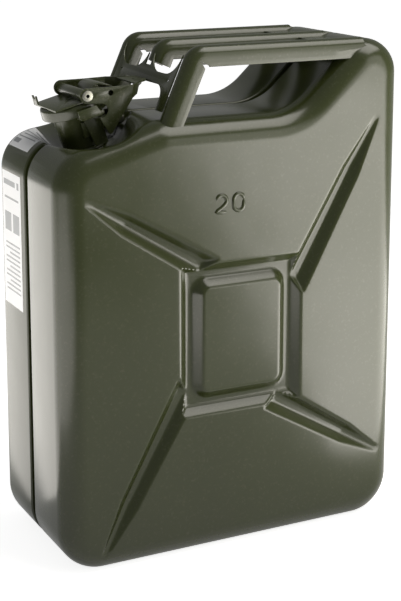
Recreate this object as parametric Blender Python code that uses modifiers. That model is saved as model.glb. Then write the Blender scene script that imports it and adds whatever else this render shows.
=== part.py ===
"""A pressed steel fuel can: two half shells, a levered cap on a short neck and three channel handles."""
import math

import bmesh
import bpy
from mathutils import Matrix, Vector

# Clearances and cuts, in metres like every length here
GAP = 0.0003
OVERRUN = 0.002
RUNNING_CLEARANCE = 0.00006
ARC_STEPS = 7
TURN_STEPS = 40

# The can's outline, seen from the broad side
BODY_WIDTH = 0.345
BODY_DEPTH = 0.165
SADDLE_HEIGHT = 0.406
HUMP_RISE = 0.062
HUMP_HEIGHT = SADDLE_HEIGHT + HUMP_RISE
SHEET = 0.001
FACE_EDGE_RADIUS = 0.022
BOTTOM_RADIUS = 0.040
SHOULDER_DROP = 0.0292
SHOULDER_SLOPE = math.radians(16.5)
SHOULDER_RADIUS = 0.035
SADDLE_END_RADIUS = 0.040
HUMP_SLOPE = math.radians(43)
HUMP_RADIUS = 0.032
HUMP_FOOT_RADIUS = 0.060

# The groove between the half shells and the weld in it
SEAM_HALF_WIDTH = 0.004
SEAM_DEPTH = 0.007
SEAM_EDGE = 0.0012
WELD_HALF_WIDTH = 0.0016
WELD_HEIGHT = 0.0014

# The pressed pattern, as offsets from its own centre
PATTERN_X = 0.003
PATTERN_RAISE = 0.002
PATTERN_Z = SADDLE_HEIGHT / 2 + PATTERN_RAISE
PRESS_DEPTH = 0.008
HUB_HALF_X = 0.062
HUB_HALF_Z = 0.071
PAD_HALF_X = 0.0395
PAD_HALF_Z = 0.049
PAD_CORNER = 0.007
STEEP_ROOT = (0.0597, 0.049)
STEEP_TIP = (0.141, 0.192)
SHALLOW_ROOT = (0.0405, 0.070)
SHALLOW_TIP = (0.150, 0.137)
ARM_WIDTH = 0.0247
ARM_TIP_WIDTH = 0.005
ARM_TIP_DEPTH = 0.0004
ARM_MIDDLE_SHARE = 0.66
ARM_MIDDLE_WIDTH_SHARE = 0.80
ARM_MIDDLE_DEPTH_SHARE = 0.86

# The neck, whose axis leans towards the narrow side
NECK_INSET = 0.057
NECK_X = NECK_INSET - BODY_WIDTH / 2
NECK_SINK = 0.0295
NECK_Z = SADDLE_HEIGHT - NECK_SINK
NECK_LEAN = math.radians(15)
NECK_BASE_RADIUS = 0.0185
NECK_TOP_RADIUS = 0.022
NECK_TAPER_HEIGHT = 0.033
NECK_WALL = 0.0012
NECK_BELOW = 0.004
LIP_RADIUS = 0.026
LIP_HEIGHT = 0.0393
LIP_THICKNESS = 0.0014
LIP_BORE = 0.0215
SEAT_HALF_LENGTH = 0.026
SEAT_HALF_WIDTH = 0.030
SEAT_SHIFT = 0.003
SEAT_END_DRAFT = math.radians(10)
SEAT_SIDE_DRAFT = math.radians(60)
SEAT_REACH = 0.045
TROUGH_START = 0.008
TROUGH_END = 0.047
TROUGH_HALF_WIDTH = 0.0185
TROUGH_LIFT = 0.0012
TROUGH_RISE = 0.0105
TROUGH_DRAFT = math.radians(25)
COLLAR_WIDTH = 0.0022
COLLAR_HEIGHT = 0.003
BREATHER_RADIUS = 0.004
BREATHER_WALL = 0.0007
BREATHER_TOP = 0.027
BREATHER_DROP = 0.014
BREATHER_REACH = 0.060

# The cap
CAP_RADIUS = 0.030
CAP_HEIGHT = 0.009
CAP_WALL = 0.0012
CAP_EDGE = 0.003
CAP_TOP = 0.0445
GASKET_BORE = 0.0195
CAP_RIVET_RADIUS = 0.003
CAP_RIVET_HEAD = 0.0052
CAP_RIVET_HEAD_HEIGHT = 0.0013

# The hinge behind the neck and the lever's pin, in the can's own x and z
HINGE_BACK = 0.0295
HINGE_X = NECK_X + HINGE_BACK
HINGE_RISE = 0.0255
HINGE_Z = NECK_Z + HINGE_RISE
HINGE_PIN_RADIUS = 0.0025
HINGE_BARREL_RADIUS = 0.0046
PIN_AHEAD = 0.0095
PIN_X = NECK_X - PIN_AHEAD
PIN_RISE = 0.050
PIN_Z = NECK_Z + PIN_RISE
PIN_RADIUS = 0.0028
PIN_BORE = 0.0016
PIN_HEAD_RADIUS = 0.0050
PIN_HEAD_HEIGHT = 0.0012

# The cap arm
ARM_SHEET = 0.0015
ARM_FRONT_REACH = 0.0265
ARM_HALF_WIDTH = 0.027
BOW_HALF_WIDTH = 0.0165
BARREL_RADIUS = 0.0048
BOW_RISE = 0.0085
BOW_BACK = 0.0335
TAB_HALF_WIDTH = 0.005
TAB_HEIGHT = 0.009
TAB_NOTCH_RADIUS = 0.0030

# The closure lever
LEVER_SHEET = 0.0015
LEVER_SIDE_CLEARANCE = 0.0006
NOSE_RADIUS = 0.0068
CHEEK_TOP_RISE = 0.0075
CHEEK_TOP_Z = PIN_Z + CHEEK_TOP_RISE
CHEEK_BEND_BACK = 0.0437
CHEEK_BEND_X = PIN_X + CHEEK_BEND_BACK
CHEEK_BEND_LENGTH = 0.0148
CHEEK_LOW_DROP = 0.004
CHEEK_LOW_Z = PIN_Z - CHEEK_LOW_DROP
CHEEK_TIP_BACK = 0.022
CHEEK_TIP_X = PIN_X + CHEEK_TIP_BACK
CHEEK_TIP_DROP = 0.033
CHEEK_TIP_Z = PIN_Z - CHEEK_TIP_DROP
CHEEK_TIP_RADIUS = 0.002
NOTCH_BACK = 0.0135
NOTCH_X = PIN_X + NOTCH_BACK
NOTCH_DROP = 0.0137
NOTCH_Z = PIN_Z - NOTCH_DROP
NOTCH_RADIUS = 0.0063
CHEEK_HOLE_BACK = 0.0225
CHEEK_HOLE_X = PIN_X + CHEEK_HOLE_BACK
CHEEK_HOLE_RISE = 0.0015
CHEEK_HOLE_Z = PIN_Z + CHEEK_HOLE_RISE
CHEEK_HOLE_RADIUS = 0.0026
TAIL_END_BACK = 0.066
TAIL_END_X = PIN_X + TAIL_END_BACK
TAIL_END_RISE = 0.0093
TAIL_END_Z = PIN_Z + TAIL_END_RISE
TAIL_FRONT_BACK = 0.0505
TAIL_FRONT_X = PIN_X + TAIL_FRONT_BACK
TAIL_HOLE_RADIUS = 0.0013
TAIL_FLANGE = 0.0045

# The bracket round the neck and its lugs
BAND_LOW = 0.013
BAND_HIGH = 0.027
BAND_THICKNESS = 0.0024
STRAP_THICKNESS = 0.0016
BAND_FRONT = -0.005
EAR_HALF_SPAN = 0.0125
EAR_THICKNESS = 0.0016
EAR_RADIUS = 0.0052
STRAP_WIDTH = 0.015
STRAP_FOOT_WIDTH = 0.0127
STRAP_SHIFT = 0.010
LUG_FRONT = -0.008
LUG_BACK = 0.0145
LUG_LOW = 0.0315
LUG_THICKNESS = 0.0030
LUG_LIP_HEIGHT = 0.0092
LUG_LIP_THICKNESS = 0.0016
LUG_SIDE_CLEARANCE = 0.0014

# The handles
HANDLE_INSET = 0.0165
HANDLE_PITCH = BODY_DEPTH / 2 - HANDLE_INSET
HANDLE_PROUD = 0.002
HANDLE_TOP = HUMP_HEIGHT + HANDLE_PROUD
HANDLE_RADIUS = 0.009
HANDLE_SKIRT = 0.009
HANDLE_SHEET = 0.0014
HANDLE_END_INSET = 0.0385
HANDLE_END_X = BODY_WIDTH / 2 - HANDLE_END_INSET
HANDLE_FOOT_INSET = 0.1023
HANDLE_FOOT_X = HANDLE_FOOT_INSET - BODY_WIDTH / 2
HANDLE_BEND_RADIUS = 0.010
LEG_SLOPE = math.radians(23.7)
MIDDLE_LEG_DROP = 0.0225
MIDDLE_LEG_END_Z = HANDLE_TOP - MIDDLE_LEG_DROP
PLATE_SHEET = 0.0014
ARCH_RISE = 0.0275
ARCH_TOP_Z = SADDLE_HEIGHT + ARCH_RISE
ARCH_INSET = 0.019
ARCH_HALF_WIDTH = HANDLE_PITCH - ARCH_INSET
ARCH_CORNER = 0.014
PLATE_LOW_RISE = 0.0065
PLATE_LOW_Z = SADDLE_HEIGHT + PLATE_LOW_RISE
WINDOW_RISE = 0.0375
WINDOW_LOW_Z = SADDLE_HEIGHT + WINDOW_RISE
WINDOW_CORNER = 0.020
PLATE_HOLE_RADIUS = 0.0015
PLATE_HOLE_INSET = 0.016
PLATE_HOLE_Y = HANDLE_PITCH - PLATE_HOLE_INSET
PLATE_HOLE_RISE = 0.0325
PLATE_HOLE_Z = SADDLE_HEIGHT + PLATE_HOLE_RISE
TIE_LENGTH = 0.033
TIE_X = HANDLE_END_X - TIE_LENGTH
TIE_DROP = 0.0045
TIE_SHEET = 0.0014
TIE_HOLE_RADIUS = 0.0016
TIE_HOLE_BACK = 0.009
TIE_HOLE_X = TIE_X + TIE_HOLE_BACK

PARTS = "jerry_can"
CUTTERS = "cutters"


# Scene and materials

def clear_scene():
    """Remove what the new file holds."""
    for item in list(bpy.data.objects):
        bpy.data.objects.remove(item, do_unlink=True)


def collection_named(name):
    """The collection of that name, made and linked when it is missing."""
    found = bpy.data.collections.get(name)
    if found is None:
        found = bpy.data.collections.new(name)
        bpy.context.scene.collection.children.link(found)
    return found


def paint(name, colour, roughness, metallic):
    """A Principled material of that colour."""
    material = bpy.data.materials.new(name)
    material.use_nodes = True
    shader = material.node_tree.nodes["Principled BSDF"]
    shader.inputs["Base Color"].default_value = (*colour, 1)
    shader.inputs["Roughness"].default_value = roughness
    shader.inputs["Metallic"].default_value = metallic
    return material


def olive_paint():
    """The glossy olive enamel of the can and its fittings."""
    return paint("olive_enamel", (0.085, 0.095, 0.045), 0.25, 0.0)


def lever_paint():
    """The same enamel, on the small pressed fittings."""
    return paint("olive_fittings", (0.10, 0.11, 0.055), 0.3, 0.0)


def bright_steel():
    """The zinc plated pins and rivets."""
    return paint("plated_steel", (0.5, 0.5, 0.46), 0.35, 1.0)


def black_rubber():
    """The gasket's rubber."""
    return paint("black_rubber", (0.02, 0.02, 0.02), 0.8, 0.0)


def bare_tin():
    """The tinned tube inside the neck."""
    return paint("tinned_steel", (0.45, 0.46, 0.46), 0.4, 1.0)


# Building blocks

def add_object(name, mesh, group, material=None):
    """Link a mesh as an object of that name."""
    item = bpy.data.objects.new(name, mesh)
    collection_named(group).objects.link(item)
    if material is not None:
        mesh.materials.append(material)
    if group == CUTTERS:
        item.hide_render = True
        item.display_type = "WIRE"
    return item


def loft(name, rings, group=CUTTERS, material=None):
    """A closed solid through rings of as many points each, with a flat face at each end."""
    shape = bmesh.new()
    loops = [[shape.verts.new(point) for point in ring] for ring in rings]
    for low, high in zip(loops, loops[1:]):
        for index in range(len(low)):
            following = (index + 1) % len(low)
            shape.faces.new((low[index], low[following], high[following], high[index]))
    shape.faces.new(loops[0])
    shape.faces.new(loops[-1])
    bmesh.ops.recalc_face_normals(shape, faces=shape.faces)
    mesh = bpy.data.meshes.new(name)
    shape.to_mesh(mesh)
    shape.free()
    return add_object(name, mesh, group, material)


def side_outline(name, rings, half_width, centre_y=0, group=CUTTERS, material=None):
    """A plate from outlines in x and z, later rings being holes, half_width to each side of centre_y."""
    curve = bpy.data.curves.new(name, "CURVE")
    curve.dimensions = "2D"
    curve.fill_mode = "BOTH"
    curve.extrude = half_width
    for ring in rings:
        spline = curve.splines.new("POLY")
        spline.points.add(len(ring) - 1)
        for point, (across, up) in zip(spline.points, ring):
            point.co = (across, up, 0, 1)
        spline.use_cyclic_u = True
    flat = bpy.data.objects.new(name, curve)
    flat.rotation_euler.x = math.pi / 2
    flat.location.y = centre_y
    return solid_from_curve(flat, name, group, material)


def plan_outline(name, rings, low, high, group=CUTTERS, material=None):
    """A plate from outlines in x and y, between the heights low and high."""
    curve = bpy.data.curves.new(name, "CURVE")
    curve.dimensions = "2D"
    curve.fill_mode = "BOTH"
    curve.extrude = (high - low) / 2
    for ring in rings:
        spline = curve.splines.new("POLY")
        spline.points.add(len(ring) - 1)
        for point, (across, along) in zip(spline.points, ring):
            point.co = (across, along, 0, 1)
        spline.use_cyclic_u = True
    flat = bpy.data.objects.new(name, curve)
    flat.location.z = (low + high) / 2
    return solid_from_curve(flat, name, group, material)


def solid_from_curve(flat, name, group, material):
    """The curve object's mesh with welded caps, in the curve's place."""
    bpy.context.scene.collection.objects.link(flat)
    bpy.context.view_layer.update()
    evaluated = flat.evaluated_get(bpy.context.evaluated_depsgraph_get())
    mesh = bpy.data.meshes.new_from_object(evaluated)
    place = flat.matrix_world.copy()
    bpy.data.objects.remove(flat, do_unlink=True)
    shape = bmesh.new()
    shape.from_mesh(mesh)
    bmesh.ops.remove_doubles(shape, verts=shape.verts, dist=GAP / 30)
    bmesh.ops.dissolve_limit(shape, angle_limit=math.radians(1), verts=shape.verts, edges=shape.edges)
    bmesh.ops.recalc_face_normals(shape, faces=shape.faces)
    shape.to_mesh(mesh)
    shape.free()
    mesh.materials.clear()
    mesh.name = name
    item = add_object(name, mesh, group, material)
    item.matrix_world = place
    return item


def turned(name, profile, place, group=CUTTERS, material=None):
    """A profile of (radius, height) pairs, run round place's own Z; it closes unless it is on the axis."""
    shape = bmesh.new()
    following = profile[1:] + profile[:1]
    area = sum(here[0] * after[1] - after[0] * here[1] for here, after in zip(profile, following))
    if area > 0:
        profile = profile[::-1]
    corners = [shape.verts.new((radius, 0, height)) for radius, height in profile]
    for first, second in zip(corners, corners[1:]):
        shape.edges.new((first, second))
    if profile[0][0] > 0:
        shape.edges.new((corners[-1], corners[0]))
    mesh = bpy.data.meshes.new(name)
    shape.to_mesh(mesh)
    shape.free()
    item = add_object(name, mesh, group, material)
    item.matrix_world = place
    screw = item.modifiers.new("turn", "SCREW")
    screw.steps = TURN_STEPS
    screw.render_steps = TURN_STEPS
    screw.use_merge_vertices = True
    screw.merge_threshold = GAP / 30
    screw.use_smooth_shade = False
    return item


def rod(name, radius, half_length, place, group=CUTTERS, material=None):
    """A round rod along place's own Z."""
    shape = bmesh.new()
    bmesh.ops.create_cone(shape, cap_ends=True, segments=TURN_STEPS // 2, radius1=radius, radius2=radius,
                          depth=half_length * 2)
    mesh = bpy.data.meshes.new(name)
    shape.to_mesh(mesh)
    shape.free()
    item = add_object(name, mesh, group, material)
    item.matrix_world = place
    return item


def box(name, low, high, place=None, group=CUTTERS, material=None):
    """A box between two corners of place's own axes."""
    low = Vector(low)
    high = Vector(high)
    shape = bmesh.new()
    bmesh.ops.create_cube(shape, size=1)
    bmesh.ops.scale(shape, vec=high - low, verts=shape.verts)
    bmesh.ops.translate(shape, vec=(low + high) / 2, verts=shape.verts)
    mesh = bpy.data.meshes.new(name)
    shape.to_mesh(mesh)
    shape.free()
    item = add_object(name, mesh, group, material)
    if place is not None:
        item.matrix_world = place
    return item


def combine(item, other, operation):
    """Add a Boolean modifier that works on item with other."""
    step = item.modifiers.new(other.name, "BOOLEAN")
    step.operation = operation
    step.solver = "EXACT"
    step.object = other
    return item


def cut(item, *cutters):
    """Take each cutter away from item."""
    for cutter in cutters:
        combine(item, cutter, "DIFFERENCE")
    return item


def join(item, *others):
    """Fuse each of the others into item."""
    for other in others:
        combine(item, other, "UNION")
    return item


def tidy(item):
    """Weld the near double points that Booleans leave."""
    weld = item.modifiers.new("weld", "WELD")
    weld.merge_threshold = GAP / 4
    return item


def arc(centre_x, centre_z, radius, start, end, steps=ARC_STEPS):
    """Points round a centre from one angle to another, both in radians."""
    points = []
    for index in range(steps + 1):
        angle = start + (end - start) * index / steps
        points.append((centre_x + radius * math.cos(angle), centre_z + radius * math.sin(angle)))
    return points


# Frames of the tilted neck

def neck_frame():
    """A frame at the neck's foot whose Z runs up the neck and whose X runs back along the seat."""
    return Matrix.Translation((NECK_X, 0, NECK_Z)) @ Matrix.Rotation(-NECK_LEAN, 4, "Y")


def in_neck(point):
    """A point of the can in the neck's own frame."""
    return neck_frame().inverted() @ Vector(point)


def from_neck(back, up):
    """The (x, z) place of a point that lies back and up in the neck's own frame, on the seam's plane."""
    point = neck_frame() @ Vector((back, 0, up))
    return point.x, point.z


def cross_rod_frame(x, z, y=0):
    """A frame whose Z runs along the can's Y at that x and z."""
    return Matrix.Translation((x, y, z)) @ Matrix.Rotation(-math.pi / 2, 4, "X")


# The can's outline and its two half shells

def outline_corners():
    """The outline's corners in x and z, anticlockwise, each with its rounding (negative if it bends in)."""
    right = BODY_WIDTH / 2
    crown_x = right - HUMP_RADIUS
    crown_z = HUMP_HEIGHT - HUMP_RADIUS
    rise_x = crown_x - HUMP_RADIUS * math.sin(HUMP_SLOPE)
    rise_z = crown_z + HUMP_RADIUS * math.cos(HUMP_SLOPE)
    slope = math.tan(HUMP_SLOPE)
    crown = (right, rise_z + (right - rise_x) * slope)
    foot = (rise_x - (rise_z - SADDLE_HEIGHT) / slope, SADDLE_HEIGHT)
    saddle_end = (-right + SHOULDER_DROP / math.tan(SHOULDER_SLOPE), SADDLE_HEIGHT)
    shoulder = (-right, SADDLE_HEIGHT - SHOULDER_DROP)
    return [
        (Vector((-right, 0)), BOTTOM_RADIUS),
        (Vector((right, 0)), BOTTOM_RADIUS),
        (Vector(crown), HUMP_RADIUS),
        (Vector(foot), -HUMP_FOOT_RADIUS),
        (Vector(saddle_end), SADDLE_END_RADIUS),
        (Vector(shoulder), SHOULDER_RADIUS),
    ]


def rounded(corners, inset):
    """The rounded outline moved inward by inset, every corner about its own fixed centre."""
    ring = []
    count = len(corners)
    for index in range(count):
        before = corners[index - 1][0]
        here, radius = corners[index]
        after = corners[(index + 1) % count][0]
        heading = (here - before).normalized()
        leaving = (after - here).normalized()
        turn = math.atan2(heading.cross(leaving), heading.dot(leaving))
        bend = math.copysign(1, turn)
        size = abs(radius)
        inward = Vector((-heading.y, heading.x))
        centre = here - heading * (size * math.tan(abs(turn) / 2)) + inward * (bend * size)
        for step in range(ARC_STEPS + 1):
            turned_by = Matrix.Rotation(turn * step / ARC_STEPS, 2)
            normal = turned_by @ inward
            ring.append(centre - normal * (bend * (size - bend * inset)))
    return ring


def shell_stations(offset, end_y):
    """(distance from the seam, inset) pairs from the broad face to end_y, offset inward by the sheet."""
    half = BODY_DEPTH / 2
    stations = []
    for step in range(ARC_STEPS):
        angle = math.pi / 2 * step / (ARC_STEPS - 1)
        reach = FACE_EDGE_RADIUS - offset
        stations.append((half - FACE_EDGE_RADIUS + reach * math.cos(angle),
                         FACE_EDGE_RADIUS - reach * math.sin(angle)))
    groove = SEAM_HALF_WIDTH + offset
    stations.append((groove + SEAM_EDGE, offset))
    stations.append((groove, offset + SEAM_EDGE))
    stations.append((groove, offset + SEAM_DEPTH))
    stations.append((end_y, offset + SEAM_DEPTH))
    return stations


def can_rings(side, offset, end_y):
    """The rings of one half of the can; side is -1 for the front half and 1 for the rear."""
    corners = outline_corners()
    rings = []
    for away, inset in shell_stations(offset, end_y):
        rings.append([(point.x, side * away, point.y) for point in rounded(corners, inset)])
    return rings


def whole_can(name, offset):
    """Both halves in one closed solid, used to trim what stands on the can."""
    front = can_rings(-1, offset, 0)
    rear = can_rings(1, offset, 0)[:-1]
    return loft(name, front + rear[::-1])


def rounded_rectangle(half_x, half_z, radius):
    """A rounded rectangle about the pattern's centre."""
    ring = []
    quarter = math.pi / 2
    for index, (across, up) in enumerate(((1, 1), (-1, 1), (-1, -1), (1, -1))):
        ring += arc(across * (half_x - radius), up * (half_z - radius), radius, quarter * index,
                    quarter * (index + 1), ARC_STEPS // 2)
    return [(PATTERN_X + across, PATTERN_Z + up) for across, up in ring]


def pattern_ring(side, depth, points):
    """A flat ring at that depth below one broad face."""
    return [(across, side * (BODY_DEPTH / 2 - depth), up) for across, up in points]


def hub_cutter(name, side, offset):
    """The square channel round the pad, its walls at 45 degrees, moved inward by offset."""
    wider = offset * math.sqrt(2)
    rings = []
    for depth in (-OVERRUN, PRESS_DEPTH + offset):
        half_x = HUB_HALF_X + wider - depth
        half_z = HUB_HALF_Z + wider - depth
        corners = ((half_x, half_z), (-half_x, half_z), (-half_x, -half_z), (half_x, -half_z))
        points = [(PATTERN_X + across, PATTERN_Z + up) for across, up in corners]
        rings.append(pattern_ring(side, depth, points))
    hub = loft(name, rings)
    rings = []
    for depth in (-OVERRUN * 2, PRESS_DEPTH + offset + OVERRUN):
        grow = depth - wider
        points = rounded_rectangle(PAD_HALF_X + grow, PAD_HALF_Z + grow, PAD_CORNER + depth)
        rings.append(pattern_ring(side, depth, points))
    return cut(hub, loft(name + "_pad", rings))


def arm_sections():
    """(share of the way to the tip, width at the face, depth) of the channels that run out from the hub."""
    return (
        (0, ARM_WIDTH, PRESS_DEPTH),
        (ARM_MIDDLE_SHARE, ARM_WIDTH * ARM_MIDDLE_WIDTH_SHARE, PRESS_DEPTH * ARM_MIDDLE_DEPTH_SHARE),
        (1, ARM_TIP_WIDTH, ARM_TIP_DEPTH),
    )


def arm_cutter(name, side, root, tip, axis, offset):
    """One channel from the middle of the hub's, cut off square to that axis, to where it fades out."""
    start = Vector(root)
    run = Vector(tip) - start
    channel_middle = ((PAD_HALF_X + HUB_HALF_X) / 2, (PAD_HALF_Z + HUB_HALF_Z) / 2)[axis]
    start = start - run * ((start[axis] - math.copysign(channel_middle, start[axis])) / run[axis])
    run = Vector(tip) - start
    across = Vector((-run.y, run.x)).normalized()
    wider = offset * math.sqrt(2)
    rings = []
    for share, width, depth in arm_sections():
        middle = start + run * share
        sideways = across if share > 0 else across - run * (across[axis] / run[axis])
        top = sideways * (width / 2 + OVERRUN + wider)
        low = sideways * (width / 2 + wider - depth - offset)
        points = [middle + top, middle - top, middle - low, middle + low]
        depths = (-OVERRUN, -OVERRUN, depth + offset, depth + offset)
        rings.append([
            (PATTERN_X + point.x, side * (BODY_DEPTH / 2 - down), PATTERN_Z + point.y)
            for point, down in zip(points, depths)
        ])
    return loft(name, rings)


def pattern_cutters(name, side, offset):
    """The hub and its four channels, which repeat after half a turn."""
    cutters = [hub_cutter(name + "_hub", side, offset)]
    shallow_root = (-SHALLOW_ROOT[0], SHALLOW_ROOT[1])
    shallow_tip = (-SHALLOW_TIP[0], SHALLOW_TIP[1])
    arms = (("steep", STEEP_ROOT, STEEP_TIP, 0), ("shallow", shallow_root, shallow_tip, 1))
    for kind, root, tip, axis in arms:
        for half_turn in (1, -1):
            turned_root = (root[0] * half_turn, root[1] * half_turn)
            turned_tip = (tip[0] * half_turn, tip[1] * half_turn)
            label = f"{name}_{kind}_{'up' if half_turn == 1 else 'down'}"
            cutters.append(arm_cutter(label, side, turned_root, turned_tip, axis, offset))
    return cutters


def seat_cutter(name, offset):
    """The sunken seat round the neck's foot, whose sides rise gently towards the broad faces."""
    rings = []
    for height in (-offset, SEAT_REACH):
        half_length = SEAT_HALF_LENGTH + offset / math.cos(SEAT_END_DRAFT) + height * math.tan(SEAT_END_DRAFT)
        half_width = SEAT_HALF_WIDTH + offset / math.cos(SEAT_SIDE_DRAFT) + height * math.tan(SEAT_SIDE_DRAFT)
        ring = []
        for index in range(TURN_STEPS):
            angle = 2 * math.pi * index / TURN_STEPS
            place = (SEAT_SHIFT + half_length * math.cos(angle), half_width * math.sin(angle), height)
            ring.append(neck_frame() @ Vector(place))
        rings.append(ring)
    return loft(name, rings)


def trough_cutter(name, offset):
    """The trough behind the seat that leaves room for the hinge, its floor rising to the saddle."""
    rings = []
    for height in (-offset, SEAT_REACH):
        grow = offset / math.cos(TROUGH_DRAFT) + height * math.tan(TROUGH_DRAFT)
        half = TROUGH_HALF_WIDTH + grow
        plan = [(TROUGH_START, half)]
        plan += arc(TROUGH_END - TROUGH_HALF_WIDTH, 0, half, math.pi / 2, -math.pi / 2, ARC_STEPS * 2)
        plan.append((TROUGH_START, -half))
        ring = []
        for back, across in plan:
            share = (back - TROUGH_START) / (TROUGH_END - TROUGH_START)
            ring.append(neck_frame() @ Vector((back, across, height + TROUGH_LIFT + TROUGH_RISE * share)))
        rings.append(ring)
    return loft(name, rings)


def neck_hole(name):
    """The hole that the neck passes through."""
    return rod(name, NECK_BASE_RADIUS + GAP, COLLAR_HEIGHT * 2, neck_frame())


def half_shell(name, side, material):
    """One pressed half of the can, of even sheet, with its pattern, seat and half of the seam's groove."""
    shell = loft(name, can_rings(side, 0, GAP / 2), PARTS, material)
    cut(shell, *pattern_cutters(name + "_press", side, 0))
    cut(shell, seat_cutter(name + "_seat", 0), trough_cutter(name + "_trough", 0))
    hollow = loft(name + "_hollow", can_rings(side, SHEET, -OVERRUN))
    cut(hollow, *pattern_cutters(name + "_back", side, SHEET))
    cut(hollow, seat_cutter(name + "_seat_back", SHEET), trough_cutter(name + "_trough_back", SHEET))
    cut(shell, hollow)
    cut(shell, neck_hole(name + "_neck_hole"))
    return tidy(shell)


def seam_weld(material):
    """The weld bead on the bottom of the seam's groove, broken at the neck's seat."""
    corners = outline_corners()
    outer = rounded(corners, SEAM_DEPTH - GAP - WELD_HEIGHT)
    inner = rounded(corners, SEAM_DEPTH - GAP)
    weld = side_outline("seam_weld", [outer], WELD_HALF_WIDTH, 0, PARTS, material)
    core = side_outline("seam_weld_core", [inner], WELD_HALF_WIDTH + OVERRUN)
    return cut(weld, core, seat_cutter("seam_weld_seat", GAP), trough_cutter("seam_weld_trough", GAP))


# The neck

def neck_profile():
    """The neck's closed profile: foot, taper, flared neck and rolled lip, then back down the bore."""
    flare = LIP_RADIUS - NECK_TOP_RADIUS
    return [
        (NECK_BASE_RADIUS, -NECK_BELOW),
        (NECK_BASE_RADIUS, 0),
        (NECK_TOP_RADIUS, NECK_TAPER_HEIGHT),
        (NECK_TOP_RADIUS + flare / 3, LIP_HEIGHT - LIP_THICKNESS * 2),
        (LIP_RADIUS, LIP_HEIGHT - LIP_THICKNESS),
        (LIP_RADIUS, LIP_HEIGHT - LIP_THICKNESS / 2),
        (LIP_RADIUS - LIP_THICKNESS / 2, LIP_HEIGHT),
        (LIP_BORE + LIP_THICKNESS / 2, LIP_HEIGHT),
        (LIP_BORE, LIP_HEIGHT - LIP_THICKNESS / 2),
        (NECK_TOP_RADIUS - NECK_WALL, NECK_TAPER_HEIGHT),
        (NECK_BASE_RADIUS - NECK_WALL, 0),
        (NECK_BASE_RADIUS - NECK_WALL, -NECK_BELOW),
    ]


def neck_tube(material):
    """The tapered filler neck."""
    return turned("neck_tube", neck_profile(), neck_frame(), PARTS, material)


def neck_collar(material):
    """The brazed ring at the neck's foot."""
    bore = NECK_BASE_RADIUS + GAP + COLLAR_HEIGHT * taper_rate()
    outer = bore + COLLAR_WIDTH
    profile = [(bore, GAP), (outer, GAP), (outer, COLLAR_HEIGHT / 2),
               (outer - COLLAR_WIDTH / 2, COLLAR_HEIGHT),
               (bore, COLLAR_HEIGHT)]
    return turned("neck_collar", profile, neck_frame(), PARTS, material)


def taper_rate():
    """How much the neck's radius grows for each unit of height."""
    return (NECK_TOP_RADIUS - NECK_BASE_RADIUS) / NECK_TAPER_HEIGHT


def breather_tube(material):
    """The thin tube that lets air past the fuel, down the back of the neck and on under the saddle."""
    back = NECK_BASE_RADIUS - NECK_WALL - GAP - BREATHER_RADIUS
    top = neck_frame() @ Vector((back, 0, BREATHER_TOP))
    knee = neck_frame() @ Vector((back, 0, -BREATHER_DROP))
    end = Vector((knee.x + BREATHER_REACH, 0, knee.z))
    bend = BREATHER_RADIUS * 2
    down = (knee - top).normalized()
    points = [top, knee - down * bend]
    for share in (0.25, 0.5, 0.75):
        first = (knee - down * bend).lerp(knee, share)
        second = knee.lerp(knee + Vector((bend, 0, 0)), share)
        points.append(first.lerp(second, share))
    points += [knee + Vector((bend, 0, 0)), end]
    tube = pipe("breather_tube", points, BREATHER_RADIUS, PARTS, material)
    stretch = [top - down * OVERRUN] + points[1:-1] + [end + Vector((OVERRUN, 0, 0))]
    return cut(tube, pipe("breather_bore", stretch, BREATHER_RADIUS - BREATHER_WALL))


def pipe(name, points, radius, group=CUTTERS, material=None):
    """A round pipe along the points, as a curve with filled ends."""
    curve = bpy.data.curves.new(name, "CURVE")
    curve.dimensions = "3D"
    curve.bevel_depth = radius
    curve.bevel_resolution = 2
    curve.use_fill_caps = True
    spline = curve.splines.new("POLY")
    spline.points.add(len(points) - 1)
    for corner, point in zip(spline.points, points):
        corner.co = (*point, 1)
    return solid_from_curve(bpy.data.objects.new(name, curve), name, group, material)


# The cap

def cap(material):
    """The pressed cap, a shallow dish with a rounded edge, bored for its rivet."""
    low = CAP_TOP - CAP_HEIGHT
    bore = CAP_RIVET_RADIUS + GAP
    profile = [(bore, CAP_TOP)]
    profile += arc(CAP_RADIUS - CAP_EDGE, CAP_TOP - CAP_EDGE, CAP_EDGE, math.pi / 2, 0, ARC_STEPS // 2)
    profile += [(CAP_RADIUS, low), (CAP_RADIUS - CAP_WALL, low)]
    inner = CAP_EDGE - CAP_WALL
    profile += arc(CAP_RADIUS - CAP_EDGE, CAP_TOP - CAP_EDGE, inner, 0, math.pi / 2, ARC_STEPS // 2)
    profile += [(bore, CAP_TOP - CAP_WALL)]
    return turned("cap", profile, neck_frame(), PARTS, material)


def cap_gasket(material):
    """The rubber ring that the cap presses on the neck's lip."""
    low = LIP_HEIGHT + GAP
    high = CAP_TOP - CAP_WALL - GAP
    outer = CAP_RADIUS - CAP_EDGE
    profile = [(GASKET_BORE, low), (outer, low), (outer, high), (GASKET_BORE, high)]
    return turned("cap_gasket", profile, neck_frame(), PARTS, material)


def cap_rivet(material):
    """The rivet that holds the cap to its arm."""
    top = CAP_TOP + GAP + ARM_SHEET + GAP
    low = CAP_TOP - CAP_WALL - GAP
    profile = [
        (0, low - CAP_RIVET_HEAD_HEIGHT),
        (CAP_RIVET_HEAD, low - CAP_RIVET_HEAD_HEIGHT),
        (CAP_RIVET_HEAD, low),
        (CAP_RIVET_RADIUS, low),
        (CAP_RIVET_RADIUS, top - GAP),
        (0, top - GAP),
    ]
    return turned("cap_rivet", profile, neck_frame(), PARTS, material)


# The cap arm

def pin_in_neck():
    """The lever pin's place in the neck's frame."""
    return in_neck((PIN_X, 0, PIN_Z))


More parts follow.
